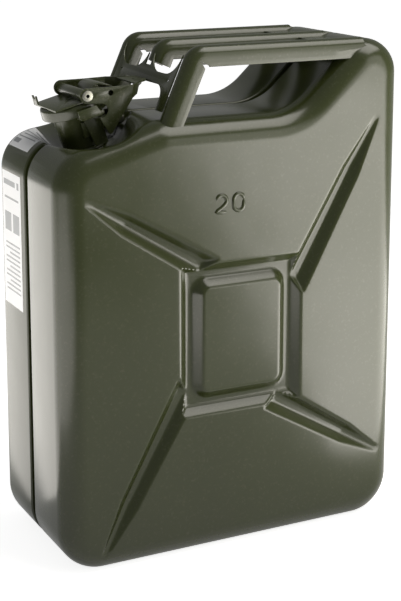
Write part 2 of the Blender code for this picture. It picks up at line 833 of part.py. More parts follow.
def hinge_in_neck():
    """The hinge's place in the neck's frame."""
    return in_neck((HINGE_X, 0, HINGE_Z))


def strip_outline(path, thickness):
    """The outline of a bent strip that has its middle line along the path."""
    points = [Vector(point) for point in path]
    left = []
    right = []
    for index, point in enumerate(points):
        heading = (points[min(index + 1, len(points) - 1)] - points[index]).normalized()
        coming = (points[index] - points[max(index - 1, 0)]).normalized()
        if index == 0:
            coming = heading
        if index == len(points) - 1:
            heading = coming
        middle = (heading + coming).normalized()
        mitre = thickness / 2 / max(middle.dot(heading), 0.5)
        side = Vector((-middle.y, middle.x)) * mitre
        left.append(point + side)
        right.append(point - side)
    return [tuple(point) for point in left + right[::-1]]


def arm_path():
    """The middle line of the arm's bow, from the cap's plate over the cap's edge and down to the hinge."""
    pin = pin_in_neck()
    hinge = hinge_in_neck()
    level = CAP_TOP + GAP + ARM_SHEET / 2
    crest = level + BOW_RISE
    start = pin.x + BARREL_RADIUS + ARM_SHEET
    path = [(start - ARM_SHEET * 2, level)]
    path.append((start + ARM_SHEET, level))
    path += arc((start + BOW_BACK) / 2, level, BOW_RISE, math.pi * 0.8, math.pi * 0.35, ARC_STEPS // 2)
    path.append((BOW_BACK, level + BOW_RISE / 3))
    path.append((BOW_BACK + ARM_SHEET * 2, level - CAP_HEIGHT))
    path.append((hinge.x + HINGE_BARREL_RADIUS / 3, hinge.z + HINGE_BARREL_RADIUS / 2))
    return [from_neck(back, up) for back, up in path]


def cap_arm(material):
    """The arm: a plate on the cap, the barrel round the lever's pin, the bow and the hinge barrel."""
    level = CAP_TOP + GAP
    frame = neck_frame()
    pin = pin_in_neck()
    plate_back = pin.x + BARREL_RADIUS + ARM_SHEET * 2
    arm = box("cap_arm", (-ARM_FRONT_REACH, -ARM_HALF_WIDTH, level),
              (plate_back, ARM_HALF_WIDTH, level + ARM_SHEET),
              frame, PARTS, material)
    barrel_half = lever_inner() - LEVER_SIDE_CLEARANCE
    barrel = rod("arm_barrel", BARREL_RADIUS, barrel_half, cross_rod_frame(PIN_X, PIN_Z))
    cradle = box("arm_cradle", (pin.x - BARREL_RADIUS / 2, -ARM_HALF_WIDTH, level + ARM_SHEET / 2),
                 (pin.x + BARREL_RADIUS / 2, ARM_HALF_WIDTH, pin.z), frame)
    bow = side_outline("arm_bow", [strip_outline(arm_path(), ARM_SHEET)], BOW_HALF_WIDTH)
    slot = EAR_HALF_SPAN - EAR_THICKNESS / 2 - GAP
    hinge_barrel = rod("arm_hinge_barrel", HINGE_BARREL_RADIUS, slot, cross_rod_frame(HINGE_X, HINGE_Z))
    join(arm, barrel, cradle, bow, hinge_barrel, finger_tab())
    for side in (-1, 1):
        relief = box("arm_relief", (0, slot, -EAR_RADIUS - OVERRUN),
                     (BAND_HIGH, ARM_HALF_WIDTH, EAR_RADIUS + OVERRUN),
                     frame @ Matrix.Translation((hinge_in_neck().x - EAR_RADIUS * 2, 0, hinge_in_neck().z))
                     @ Matrix.Diagonal((1, side, 1, 1)))
        cut(arm, relief)
    pin_hole = rod("arm_pin_hole", PIN_RADIUS + RUNNING_CLEARANCE, barrel_half + OVERRUN,
                   cross_rod_frame(PIN_X, PIN_Z))
    hinge_hole = rod("arm_hinge_hole", HINGE_PIN_RADIUS + RUNNING_CLEARANCE, slot + OVERRUN,
                     cross_rod_frame(HINGE_X, HINGE_Z))
    rivet_hole = rod("arm_rivet_hole", CAP_RIVET_RADIUS + GAP, ARM_SHEET + OVERRUN,
                     frame @ Matrix.Translation((0, 0, level + ARM_SHEET / 2)))
    return cut(arm, pin_hole, hinge_hole, rivet_hole)


def finger_tab():
    """The upturned tab at the plate's far front corner, with its round notch."""
    level = CAP_TOP + GAP
    frame = neck_frame()
    tab = box("arm_tab", (-ARM_FRONT_REACH, ARM_HALF_WIDTH - TAB_HALF_WIDTH * 2, level + ARM_SHEET / 2),
              (-ARM_FRONT_REACH + ARM_SHEET, ARM_HALF_WIDTH, level + TAB_HEIGHT), frame)
    notch_place = frame @ Matrix.Translation((-ARM_FRONT_REACH, ARM_HALF_WIDTH - TAB_HALF_WIDTH,
                                              level + TAB_HEIGHT)) @ Matrix.Rotation(math.pi / 2, 4, "Y")
    return cut(tab, rod("arm_tab_notch", TAB_NOTCH_RADIUS, ARM_SHEET * 2, notch_place))


# The closure lever

def lever_inner():
    """How far the cheeks' inner faces stand from the seam's plane."""
    return CAP_RADIUS + LEVER_SIDE_CLEARANCE


def tail_half():
    """Half the tail's width, outside its side flanges."""
    return lever_inner() + LEVER_SHEET - CHEEK_BEND_LENGTH


def tail_corner():
    """The rounding of the tail's end, which starts where the cheeks' bends end."""
    return TAIL_END_X - CHEEK_BEND_X - CHEEK_BEND_LENGTH


def lever_side_profile():
    """The lever seen from its side: nose, notch, tip, tail and back along the top."""
    notch_start = math.radians(100)
    notch_end = math.radians(-112)
    ring = arc(PIN_X, PIN_Z, NOSE_RADIUS, math.radians(82), math.radians(278), ARC_STEPS * 2)
    ring += arc(NOTCH_X, NOTCH_Z, NOTCH_RADIUS, notch_start, notch_end, ARC_STEPS * 2)
    ring += arc(CHEEK_TIP_X, CHEEK_TIP_Z, CHEEK_TIP_RADIUS, math.radians(200), math.radians(320),
                ARC_STEPS // 2)
    ring += [
        (CHEEK_BEND_X, CHEEK_LOW_Z),
        (CHEEK_BEND_X + CHEEK_BEND_LENGTH / 2, CHEEK_LOW_Z + TAIL_FLANGE / 2),
        (TAIL_FRONT_X + tail_corner() / 2, TAIL_END_Z - TAIL_FLANGE),
        (TAIL_END_X, TAIL_END_Z - LEVER_SHEET),
        (TAIL_END_X, TAIL_END_Z),
        (CHEEK_BEND_X, CHEEK_TOP_Z),
        (CHEEK_HOLE_X, CHEEK_TOP_Z - GAP * 2),
    ]
    return ring


def lever_band(side):
    """One cheek with its inward bend and tail flange, as an upright band that the side profile trims."""
    middle = lever_inner() + LEVER_SHEET / 2
    inner = tail_half() - LEVER_SHEET / 2
    path = [
        (PIN_X - NOSE_RADIUS - OVERRUN, side * middle),
        (CHEEK_BEND_X, side * middle),
        (CHEEK_BEND_X + CHEEK_BEND_LENGTH, side * inner),
    ]
    return plan_outline(f"lever_band_{'rear' if side == 1 else 'front'}", [strip_outline(path, LEVER_SHEET)],
                        CHEEK_TIP_Z - CHEEK_TIP_RADIUS - OVERRUN, CHEEK_TOP_Z + TAIL_FLANGE)


def tail_outline():
    """The tail's web seen from above, with its rounded end."""
    half = tail_half() - LEVER_SHEET / 2
    ring = [(TAIL_FRONT_X, -half - CHEEK_BEND_LENGTH / 3)]
    ring += arc(TAIL_END_X - tail_corner(), -half + tail_corner(), tail_corner(), -math.pi / 2, 0, ARC_STEPS)
    ring += arc(TAIL_END_X - tail_corner(), half - tail_corner(), tail_corner(), 0, math.pi / 2, ARC_STEPS)
    ring.append((TAIL_FRONT_X, half + CHEEK_BEND_LENGTH / 3))
    return ring


def closure_lever(material):
    """The lever: two cheeks with hook notches, bent in to a tail with a rounded web."""
    side_cut = side_outline("lever_side", [lever_side_profile()], CAP_RADIUS * 2)
    lever = lever_band(-1)
    lever.name = "closure_lever"
    bpy.data.collections[CUTTERS].objects.unlink(lever)
    collection_named(PARTS).objects.link(lever)
    lever.hide_render = False
    lever.display_type = "TEXTURED"
    lever.data.materials.append(material)
    join(lever, lever_band(1))
    combine(lever, side_cut, "INTERSECT")
    web_path = [(TAIL_FRONT_X, CHEEK_TOP_Z - LEVER_SHEET / 2), (TAIL_END_X, TAIL_END_Z - LEVER_SHEET / 2)]
    web = side_outline("lever_web", [strip_outline(web_path, LEVER_SHEET)], CAP_RADIUS)
    high = CHEEK_TOP_Z + tail_corner()
    combine(web, plan_outline("lever_web_plan", [tail_outline()], CHEEK_LOW_Z, high), "INTERSECT")
    join(lever, web)
    reach = lever_inner() + LEVER_SHEET + OVERRUN
    pin_hole = rod("lever_pin_hole", PIN_RADIUS + RUNNING_CLEARANCE, reach, cross_rod_frame(PIN_X, PIN_Z))
    side_hole = rod("lever_side_hole", CHEEK_HOLE_RADIUS, reach, cross_rod_frame(CHEEK_HOLE_X, CHEEK_HOLE_Z))
    tail_hole = rod("lever_tail_hole", TAIL_HOLE_RADIUS, tail_corner(),
                    Matrix.Translation((TAIL_END_X - tail_corner(), 0, TAIL_END_Z)))
    return cut(lever, pin_hole, side_hole, tail_hole)


def lever_pin(material):
    """The hollow rivet through the cheeks and the arm's barrel, spread at both ends."""
    cheek = lever_inner() + LEVER_SHEET + GAP
    end = cheek + PIN_HEAD_HEIGHT
    spread = PIN_HEAD_HEIGHT / 2
    profile = [
        (PIN_BORE, -end), (PIN_HEAD_RADIUS - spread, -end), (PIN_HEAD_RADIUS, -end + spread),
        (PIN_HEAD_RADIUS, -cheek), (PIN_RADIUS, -cheek), (PIN_RADIUS, cheek), (PIN_HEAD_RADIUS, cheek),
        (PIN_HEAD_RADIUS, end - spread), (PIN_HEAD_RADIUS - spread, end), (PIN_BORE, end),
    ]
    return turned("lever_pin", profile, cross_rod_frame(PIN_X, PIN_Z), PARTS, material)


def hinge_pin(material):
    """The solid pin of the hinge behind the neck."""
    ear = EAR_HALF_SPAN + EAR_THICKNESS / 2 + GAP
    end = ear + PIN_HEAD_HEIGHT
    head = HINGE_PIN_RADIUS * 1.5
    profile = [(0, -end), (head, -end), (head, -ear), (HINGE_PIN_RADIUS, -ear), (HINGE_PIN_RADIUS, ear),
               (head, ear), (head, end), (0, end)]
    return turned("hinge_pin", profile, cross_rod_frame(HINGE_X, HINGE_Z), PARTS, material)


# The bracket round the neck

def neck_radius(height):
    """The neck's outer radius at that height above its foot."""
    return NECK_BASE_RADIUS + height * taper_rate()


def closure_bracket(material):
    """The band round the back of the neck, its hinge ears and the straps that stand on the seat."""
    frame = neck_frame()
    low = neck_radius(BAND_LOW) + GAP
    high = neck_radius(BAND_HIGH) + GAP
    profile = [(low, BAND_LOW), (low + BAND_THICKNESS, BAND_LOW),
               (high + BAND_THICKNESS, BAND_HIGH), (high, BAND_HIGH)]
    band = turned("closure_bracket", profile, frame, PARTS, material)
    reach = CAP_RADIUS * 2
    front = box("bracket_front", (-reach, -reach, BAND_LOW - OVERRUN),
                (BAND_FRONT, reach, BAND_HIGH + OVERRUN), frame)
    cut(band, front)
    for side in (-1, 1):
        join(band, hinge_ear(side), strap(side))
    hinge_hole = rod("bracket_hinge_hole", HINGE_PIN_RADIUS + RUNNING_CLEARANCE, CAP_RADIUS,
                     cross_rod_frame(HINGE_X, HINGE_Z))
    return cut(band, hinge_hole)


def hinge_ear(side):
    """One of the two ears that carry the hinge pin."""
    hinge = hinge_in_neck()
    ring = arc(hinge.x, hinge.z, EAR_RADIUS, math.radians(80), math.radians(-80), ARC_STEPS)
    for height in (BAND_LOW + OVERRUN, BAND_HIGH - OVERRUN):
        reach = neck_radius(height) + GAP + BAND_THICKNESS / 2
        ring.append((math.sqrt(reach ** 2 - EAR_HALF_SPAN ** 2), height))
    outline = [from_neck(back, up) for back, up in ring]
    return side_outline(f"bracket_ear_{'rear' if side == 1 else 'front'}", [outline], EAR_THICKNESS / 2,
                        side * EAR_HALF_SPAN)


def strap(side):
    """The strip that runs from the lug down and back to the seat beside the neck."""
    top = LUG_LOW
    foot = GAP
    ring = [
        (LUG_FRONT + STRAP_SHIFT / 2, top),
        (LUG_FRONT + STRAP_SHIFT / 2 + STRAP_WIDTH, top),
        (LUG_FRONT + STRAP_SHIFT + STRAP_FOOT_WIDTH, foot + COLLAR_HEIGHT),
        (LUG_FRONT + STRAP_SHIFT, foot + COLLAR_HEIGHT),
    ]
    outline = [from_neck(back, up) for back, up in ring]
    return side_outline(f"bracket_strap_{'rear' if side == 1 else 'front'}", [outline], STRAP_THICKNESS / 2,
                        side * strap_distance())


def strap_distance():
    """How far the straps stand from the seam's plane."""
    return flare_radius(LUG_LOW + LUG_THICKNESS + GAP) + GAP * 2 + STRAP_THICKNESS / 2


def flare_radius(height):
    """The neck's outer radius on the flare below its lip."""
    rise = LIP_HEIGHT - LIP_THICKNESS * 2 - NECK_TAPER_HEIGHT
    return NECK_TOP_RADIUS + (LIP_RADIUS - NECK_TOP_RADIUS) / 3 * max(height - NECK_TAPER_HEIGHT, 0) / rise


def neck_lug(side, material):
    """The lug for the lever's notch: a shelf out through the notch, turned up outside the cheek."""
    name = "rear_neck_lug" if side == 1 else "front_neck_lug"
    low = LUG_LOW + GAP
    high = low + LUG_THICKNESS
    inner = strap_distance() - STRAP_THICKNESS / 2
    lip = lever_inner() + LEVER_SHEET + LUG_SIDE_CLEARANCE + LUG_LIP_THICKNESS / 2
    shelf = [from_neck(back, up) for back, up in ((LUG_FRONT, low), (LUG_BACK, low), (LUG_BACK, high),
                                                  (LUG_FRONT, high))]
    lug = side_outline(name, [shelf], (lip - inner) / 2, side * (lip + inner) / 2, PARTS, material)
    top = low + LUG_LIP_HEIGHT
    under = low - OVERRUN / 4
    lip_ring = ((LUG_FRONT + LUG_THICKNESS / 2, under), (LUG_BACK - LUG_THICKNESS, under),
                (LUG_BACK - LUG_THICKNESS, high), (LUG_BACK - LUG_THICKNESS * 2, top),
                (LUG_FRONT - LUG_THICKNESS / 2, top), (LUG_FRONT - LUG_THICKNESS / 2, high))
    outline = [from_neck(back, up) for back, up in lip_ring]
    return join(lug, side_outline(name + "_lip", [outline], LUG_LIP_THICKNESS / 2, side * lip))


# The handles

def channel_section():
    """The handle bar's section: (outward, across) pairs of an open channel with a round back."""
    inner = HANDLE_RADIUS - HANDLE_SHEET
    outer_arc = arc(0, 0, HANDLE_RADIUS, 0, math.pi, ARC_STEPS + 1)
    inner_arc = arc(0, 0, inner, math.pi, 0, ARC_STEPS + 1)
    section = [(height, across) for across, height in outer_arc]
    section += [(-HANDLE_SKIRT, -HANDLE_RADIUS), (-HANDLE_SKIRT, -inner)]
    section += [(height, across) for across, height in inner_arc]
    section += [(-HANDLE_SKIRT, inner), (-HANDLE_SKIRT, HANDLE_RADIUS)]
    return section


def handle_path(low_z):
    """(x, z, angle of the outward direction) stations from the leg's low end round the bend to the hump."""
    level = HANDLE_TOP - HANDLE_RADIUS
    outward_leg = math.pi - LEG_SLOPE
    bend_z = level - HANDLE_BEND_RADIUS
    face = HANDLE_BEND_RADIUS + HANDLE_RADIUS
    face_z = bend_z + face * math.sin(outward_leg)
    centre_x = HANDLE_FOOT_X + (face_z - SADDLE_HEIGHT) * math.tan(LEG_SLOPE) - face * math.cos(outward_leg)
    stations = []
    for step in range(ARC_STEPS + 1):
        angle = outward_leg + (math.pi / 2 - outward_leg) * step / ARC_STEPS
        stations.append((centre_x + HANDLE_BEND_RADIUS * math.cos(angle),
                         bend_z + HANDLE_BEND_RADIUS * math.sin(angle), angle))
    start_x, start_z, angle = stations[0]
    length = (start_z - low_z) / math.cos(LEG_SLOPE)
    low = (start_x - length * math.sin(LEG_SLOPE), low_z, angle)
    return [low] + stations + [(HANDLE_END_X, level, math.pi / 2)]


def handle_bar(name, centre_y, low_z, trim, material):
    """One channel bar with its bend and leg, trimmed where it stands on the can."""
    rings = []
    for x, z, angle in handle_path(low_z):
        ring = []
        for outward, across in channel_section():
            ring.append((x + outward * math.cos(angle), centre_y + across, z + outward * math.sin(angle)))
        rings.append(ring)
    bar = loft(name, rings, PARTS, material)
    return cut(bar, trim)


def middle_leg_end():
    """The height of the middle bar's low end on its middle line, its back standing on the end plate."""
    return MIDDLE_LEG_END_Z + GAP - HANDLE_RADIUS * math.sin(LEG_SLOPE)


def leg_face_x(z):
    """The x of the legs' outer face at that height."""
    low_x, low_z, angle = handle_path(ARCH_TOP_Z)[0]
    face_x = low_x + HANDLE_RADIUS * math.cos(angle)
    face_z = low_z + HANDLE_RADIUS * math.sin(angle)
    return face_x + (z - face_z) * math.tan(LEG_SLOPE)


def end_plate_frame():
    """A frame on the end plate's outer face: X along the can's Y, Y up the slope, Z outward."""
    up = Vector((math.sin(LEG_SLOPE), 0, math.cos(LEG_SLOPE)))
    across = Vector((0, -1, 0))
    outward = across.cross(up)
    turned_axes = Matrix((across, up, outward)).transposed().to_4x4()
    return Matrix.Translation((leg_face_x(ARCH_TOP_Z), 0, ARCH_TOP_Z)) @ turned_axes


def along_slope(z):
    """How far up the plate's slope that height lies."""
    return (z - ARCH_TOP_Z) / math.cos(LEG_SLOPE)


def beside_bar():
    """How far from a bar's middle the end plate's edge stands as its corner nears the bar's round back."""
    return math.sqrt((HANDLE_RADIUS + GAP) ** 2 - (HANDLE_RADIUS - PLATE_SHEET) ** 2)


def end_plate_half():
    """Half the end plate's outline, from the seam outward: arch, foot, leg side, window and centre."""
    side = HANDLE_PITCH - beside_bar()
    low = along_slope(PLATE_LOW_Z)
    window = along_slope(WINDOW_LOW_Z)
    top = window + WINDOW_CORNER
    inner = beside_bar()
    middle = (side + inner) / 2
    corner = min(WINDOW_CORNER, (side - inner) / 2 - GAP)
    half = [(0, 0)]
    half += arc(ARCH_HALF_WIDTH - ARCH_CORNER, -ARCH_CORNER, ARCH_CORNER, math.pi / 2, 0, ARC_STEPS)
    half += [(ARCH_HALF_WIDTH, low), (side, low), (side, top)]
    half += arc(middle + (side - middle - corner), top, corner, 0, -math.pi / 2, ARC_STEPS)[1:]
    half += arc(middle - (side - middle - corner), top, corner, -math.pi / 2, -math.pi, ARC_STEPS)[:-1]
    half += [(inner, along_slope(MIDDLE_LEG_END_Z)), (0, along_slope(MIDDLE_LEG_END_Z))]
    return half


def handle_end_plate(material):
    """The plate between the legs, open below in an arch for the lever's tail and above in two windows."""
    half = end_plate_half()
    ring = half + [(-across, up) for across, up in half[::-1]][1:-1]
    curve = bpy.data.curves.new("handle_end_plate", "CURVE")
    curve.dimensions = "2D"
    curve.fill_mode = "BOTH"
    curve.extrude = PLATE_SHEET / 2
    spline = curve.splines.new("POLY")
    spline.points.add(len(ring) - 1)
    for point, (across, up) in zip(spline.points, ring):
        point.co = (across, up, 0, 1)
    spline.use_cyclic_u = True
    flat = bpy.data.objects.new("handle_end_plate", curve)
    flat.matrix_world = end_plate_frame() @ Matrix.Translation((0, 0, -PLATE_SHEET / 2))
    plate = solid_from_curve(flat, "handle_end_plate", PARTS, material)
    for side in (-1, 1):
        place = end_plate_frame() @ Matrix.Translation((side * PLATE_HOLE_Y, along_slope(PLATE_HOLE_Z), 0))
        cut(plate, rod("plate_hole", PLATE_HOLE_RADIUS, PLATE_SHEET * 2, place))
    return plate


def tie_plate(side, trim, material):
    """One plate between two bars where they meet the hump."""
    inner = HANDLE_RADIUS + GAP
    outer = HANDLE_PITCH - HANDLE_RADIUS - GAP
    high = HANDLE_TOP - TIE_DROP
    name = "rear_tie_plate" if side == 1 else "front_tie_plate"
    low_y, high_y = sorted((side * inner, side * outer))
    plate = box(name, (TIE_X, low_y, high - TIE_SHEET), (HANDLE_END_X, high_y, high), None, PARTS, material)
    hole = rod(name + "_hole", TIE_HOLE_RADIUS, TIE_SHEET * 2,
               Matrix.Translation((TIE_HOLE_X, side * HANDLE_PITCH / 2, high)))
    return cut(plate, trim, hole)


# Assembly

def pivot(name, x, z, parent=None):
    """An empty on a joint's axis."""
    empty = bpy.data.objects.new(name, None)
    collection_named(PARTS).objects.link(empty)
    empty.location = (x, 0, z)
    if parent is not None:
        attach(empty, parent)
    return empty


def attach(item, parent):
    """Parent item without moving it."""
    bpy.context.view_layer.update()
    place = item.matrix_world.copy()
    item.parent = parent
    item.matrix_parent_inverse = parent.matrix_world.inverted()
    item.matrix_world = place


def build():
    """Make every piece and hang the moving ones on their joints."""
    clear_scene()
    enamel = olive_paint()
    fittings = lever_paint()
    steel = bright_steel()
    half_shell("front_half_shell", -1, enamel)
    half_shell("rear_half_shell", 1, enamel)
    seam_weld(enamel)
    neck_tube(enamel)
    neck_collar(enamel)
    breather_tube(bare_tin())
    closure_bracket(fittings)
    neck_lug(-1, fittings)
    neck_lug(1, fittings)
    hinge_pin(steel)
    trim = whole_can("can_trim", -GAP)
    foot_z = SADDLE_HEIGHT - FACE_EDGE_RADIUS / 2
    handle_bar("front_handle_bar", -HANDLE_PITCH, foot_z, trim, enamel)
    handle_bar("middle_handle_bar", 0, middle_leg_end(), trim, enamel)
    handle_bar("rear_handle_bar", HANDLE_PITCH, foot_z, trim, enamel)
    handle_end_plate(enamel)
    tie_plate(-1, trim, enamel)
    tie_plate(1, trim, enamel)
    swing = pivot("closure_swing_axis", HINGE_X, HINGE_Z)
    for piece in (cap_arm(fittings), cap(enamel), cap_gasket(black_rubber()), cap_rivet(steel)):
        attach(piece, swing)
    lift = pivot("lever_lift_axis", PIN_X, PIN_Z, swing)
    for piece in (closure_lever(fittings), lever_pin(steel)):
        attach(piece, lift)


build()
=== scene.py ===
"""Dresses a pressed steel fuel can for the studio: smooth pressings, enamel, stickers, stage and camera."""
import math

import bmesh
import bpy
import numpy
from mathutils import Matrix, Vector, noise
from mathutils.bvhtree import BVHTree


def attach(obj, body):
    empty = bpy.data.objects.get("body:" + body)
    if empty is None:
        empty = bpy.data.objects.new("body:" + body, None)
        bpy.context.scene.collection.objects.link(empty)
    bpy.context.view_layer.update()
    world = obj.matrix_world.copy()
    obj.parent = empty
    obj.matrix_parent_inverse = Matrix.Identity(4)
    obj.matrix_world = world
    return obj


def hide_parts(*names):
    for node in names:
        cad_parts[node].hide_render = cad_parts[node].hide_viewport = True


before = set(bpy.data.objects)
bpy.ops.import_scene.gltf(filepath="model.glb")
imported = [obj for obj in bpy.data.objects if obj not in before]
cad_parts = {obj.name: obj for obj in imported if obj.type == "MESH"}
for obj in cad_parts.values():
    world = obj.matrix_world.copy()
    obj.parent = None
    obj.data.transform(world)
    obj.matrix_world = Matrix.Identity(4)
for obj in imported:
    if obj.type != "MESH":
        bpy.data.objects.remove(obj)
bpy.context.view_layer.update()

bl_info = {
    "name": "Pressed Fuel Can",
    "version": (1, 0, 0),
    "blender": (4, 5, 0),
    "location": "3D View > Sidebar > Fuel Can",
    "description": "Smooth panels, enamel, stickers and a studio for the packed model of a pressed steel fuel can",
    "category": "Add Mesh",
}

MM = 0.001

# The can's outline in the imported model, in metres
HALF_WIDTH = 0.1725
HALF_DEPTH = 0.0825
SADDLE_HEIGHT = 0.406
HUMP_HEIGHT = 0.468
FACE_EDGE = 0.022
BOTTOM_RADIUS = 0.040
SHOULDER_DROP = 0.0292
SHOULDER_SLOPE = math.radians(16.5)
SHOULDER_RADIUS = 0.035
SADDLE_END_RADIUS = 0.040
HUMP_SLOPE = math.radians(43)
HUMP_RADIUS = 0.032
HUMP_FOOT_RADIUS = 0.060
CORNER_STEPS = 8

# The groove between the half shells
SEAM_HALF_WIDTH = 0.004
SEAM_DEPTH = 0.007
SEAM_LIP = 0.0017
SEAM_END = 0.0002
SEAM_FLOOR_STEP = 0.0006
SEAM_LIP_STEPS = 4
FACE_EDGE_STEPS = 12

# The weld on the groove's floor: its section, how far ripples and wandering change it, and how it sways
WELD_SINK = 0.0002
WELD_HEIGHT = 0.0021
WELD_HALF_WIDTH = 0.0031
WELD_STEPS = 8
WELD_RIPPLE = 0.1
WELD_RIPPLE_LENGTH = 0.0032
WELD_WANDER = 0.35
WELD_WANDER_RATE = 110
WELD_WANDER_SEED = 3
WELD_SWAY = 0.0005
WELD_SWAY_RATE = 60
WELD_SWAY_SEED = 9
WELD_LIFT = 0.0006

# The pressed pattern, about its own centre
PATTERN_X = 0.003
PATTERN_Z = 0.205
HUB_HALF = Vector((0.062, 0.071))
PAD_HALF = Vector((0.0395, 0.049))
PAD_CORNER = 0.007
STEEP_ARM = (Vector((0.0597, 0.049)), Vector((0.141, 0.192)))
SHALLOW_ARM = (Vector((-0.0405, 0.070)), Vector((-0.150, 0.137)))
ARM_WIDTH = 0.0247
ARM_SECTIONS = ((0.0, 1.0, 1.0), (0.66, 0.80, 0.86), (1.0, 0.20, 0.05))
ARM_ROOT_REACH = 1.5
ARM_TIP_SLOPE = 0.35

# A half shell's mesh: the gap between its grid and rim in steps, and the long edges near the neck that are cut up
GRID_GAP = 0.7
LONG_EDGE = 0.02
LONG_EDGES_X = (-0.168, -0.048)
LONG_EDGES_LOW_Z = 0.345
LONG_EDGE_CUTS = 24
PRESSED_FILLETS = 2
LEVEL_WITHIN = 0.02 * MM

# The neck and its sunken seat
NECK_FOOT = Vector((-0.1155, 0, 0.3765))
NECK_LEAN = math.radians(15)
SEAT_HALF = Vector((0.026, 0.030))
SEAT_SHIFT = 0.003
SEAT_DRAFTS = (math.tan(math.radians(35)), math.tan(math.radians(74)))
TROUGH_START = 0.008
TROUGH_END = 0.047
TROUGH_HALF_WIDTH = 0.0185
TROUGH_LIFT = 0.0012
TROUGH_RISE = 0.0105
TROUGH_DRAFT = math.tan(math.radians(25))
NO_TROUGH = 1.0
SEAT_ZONE_X = (-0.170, -0.045)
SEAT_ZONE_LOW_Z = 0.34
SEAT_HEIGHT_LIMIT = 0.2
SEAT_HALVINGS = 14
NECK_HOLE = 0.0188
NECK_HOLE_REACH = 0.0011
NECK_HOLE_HEIGHT = 0.012
NECK_HOLE_LOW_Z = 0.35

# The handles
HANDLE_PITCH = 0.066
HANDLE_TOP = 0.470
HANDLE_RADIUS = 0.009
HANDLE_SKIRT = 0.009
HANDLE_SHEET = 0.0014
HANDLE_END_X = 0.134
HANDLE_FOOT_X = -0.0702
HANDLE_BEND_RADIUS = 0.010
LEG_SLOPE = math.radians(23.7)
MIDDLE_LEG_END_Z = 0.4475
FOOT_REACH = 0.03
END_REACH = 0.06
BACK_STEPS = 22
SKIRT_SHARES = (0.33, 0.66, 1.0)
BEND_STEPS = 18
LEG_SHARES = (1.0, 0.75, 0.5, 0.25)
BAR_SHARES = (0.2, 0.4, 0.6, 0.8, 1.0)

# The wedge cut out of the skirts in a bar's bend, at one of the bar's stations
SLIT_STATION = 13
SLIT_RADIUS = 0.0075
SLIT_LENGTH = 0.05
SLIT_STRETCH = (1.35, 0.42, 1)
SLIT_SHIFT = -0.0105

# Joined corners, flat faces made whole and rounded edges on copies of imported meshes
JOIN_WITHIN = 0.01 * MM
FLAT_ANGLE = math.radians(1)
SHARP_ANGLE = math.radians(35)
PRESSING_EDGE = 0.35 * MM
PLATE_EDGE = 0.5 * MM

# The turned parts, as (radius, height) pairs in the neck's frame
TURN_STEPS = 96
NECK_PROFILE = [(0.0185, -0.004), (0.0185, 0), (0.022, 0.033), (0.02333, 0.0365), (0.026, 0.0379),
                (0.026, 0.0386), (0.0253, 0.0393), (0.0222, 0.0393), (0.0215, 0.0386), (0.0208, 0.033),
                (0.0173, 0), (0.0173, -0.004)]
RING_PROFILE = [(0.01912, 0.0003), (0.02132, 0.0003), (0.02132, 0.0011), (0.0209, 0.0020), (0.0202, 0.0027),
                (0.0196, 0.0030), (0.0194, 0.0030)]
GASKET_PROFILE = [(0.0195, 0.0399), (0.0198, 0.0396), (0.0267, 0.0396), (0.027, 0.0399), (0.027, 0.0427),
                  (0.0267, 0.0430), (0.0198, 0.0430), (0.0195, 0.0427)]
RIVET_PROFILE = [(0, 0.0417), (0.0045, 0.0417), (0.0052, 0.0422), (0.0052, 0.0430), (0.0030, 0.0430),
                 (0.0030, 0.0463), (0, 0.0463)]
CAP_RADIUS = 0.030
CAP_TOP = 0.0445
CAP_LOW = 0.0335
CAP_EDGE = 0.003
CAP_WALL = 0.0012
CAP_BORE = 0.0033

# The cross rods: radius, bore, half length, head radius and head height, then their places in x and z
HINGE_ROD = (0.0025, 0, 0.0136, 0.00375, 0.0012)
HINGE_PLACE = (-0.086, 0.402)
LEVER_ROD = (0.0028, 0.0016, 0.0324, 0.0050, 0.0012)
LEVER_PLACE = (-0.125, 0.4265)
ROD_ROUNDING = 0.4
ROD_CORNER = 0.3
END_PLATES = (("bar_end_plate", "handle_end_plate"), ("front_bridge_plate", "front_tie_plate"),
              ("rear_bridge_plate", "rear_tie_plate"))
CLOSURE_PRESSINGS = (("cap_swing_arm", "cap_arm", "closure"), ("neck_clamp_bracket", "closure_bracket", "can"),
                     ("front_hook_lug", "front_neck_lug", "can"), ("rear_hook_lug", "rear_neck_lug", "can"))

# Stickers: opposite corners on the can, and printed bars as shares across and up
PAPER = 0.12 * MM
PRINT = PAPER * 1.6
SOLID_SHARE = 0.9
PAPER_CELLS = (10, 24)
PRINT_CELLS = (4, 6)
STICKER_REACH = 0.2
INWARD = Vector((1, 0, 0))
DOWNWARD = Vector((0, 0, -1))
SIDE_LOW = Vector((-0.19, 0.014, 0.224))
SIDE_HIGH = Vector((-0.19, 0.062, 0.350))
SHOULDER_LOW = Vector((-0.165, 0.014, 0.44))
SHOULDER_HIGH = Vector((-0.138, 0.066, 0.44))
SIDE_BARS = [(0.30, 0.92, 0.90, 0.94), (0.10, 0.20, 0.895, 0.945), (0.12, 0.88, 0.80, 0.815)]
SIDE_BARS += [(0.10, 0.44, 0.56, 0.70), (0.54, 0.88, 0.56, 0.70)]
SIDE_BARS += [(0.10, 0.86 - 0.2 * (row % 3 == 2), 0.46 - 0.035 * row, 0.472 - 0.035 * row) for row in range(11)]
SHOULDER_BARS = [(0.10, 0.70, 0.80, 0.88), (0.10, 0.88, 0.62, 0.66), (0.10, 0.80, 0.48, 0.52),
                 (0.10, 0.88, 0.34, 0.38), (0.62, 0.88, 0.12, 0.26)]
STICKERS = (("side_sticker", SIDE_LOW, SIDE_HIGH, INWARD, SIDE_BARS),
            ("shoulder_sticker", SHOULDER_LOW, SHOULDER_HIGH, DOWNWARD, SHOULDER_BARS))

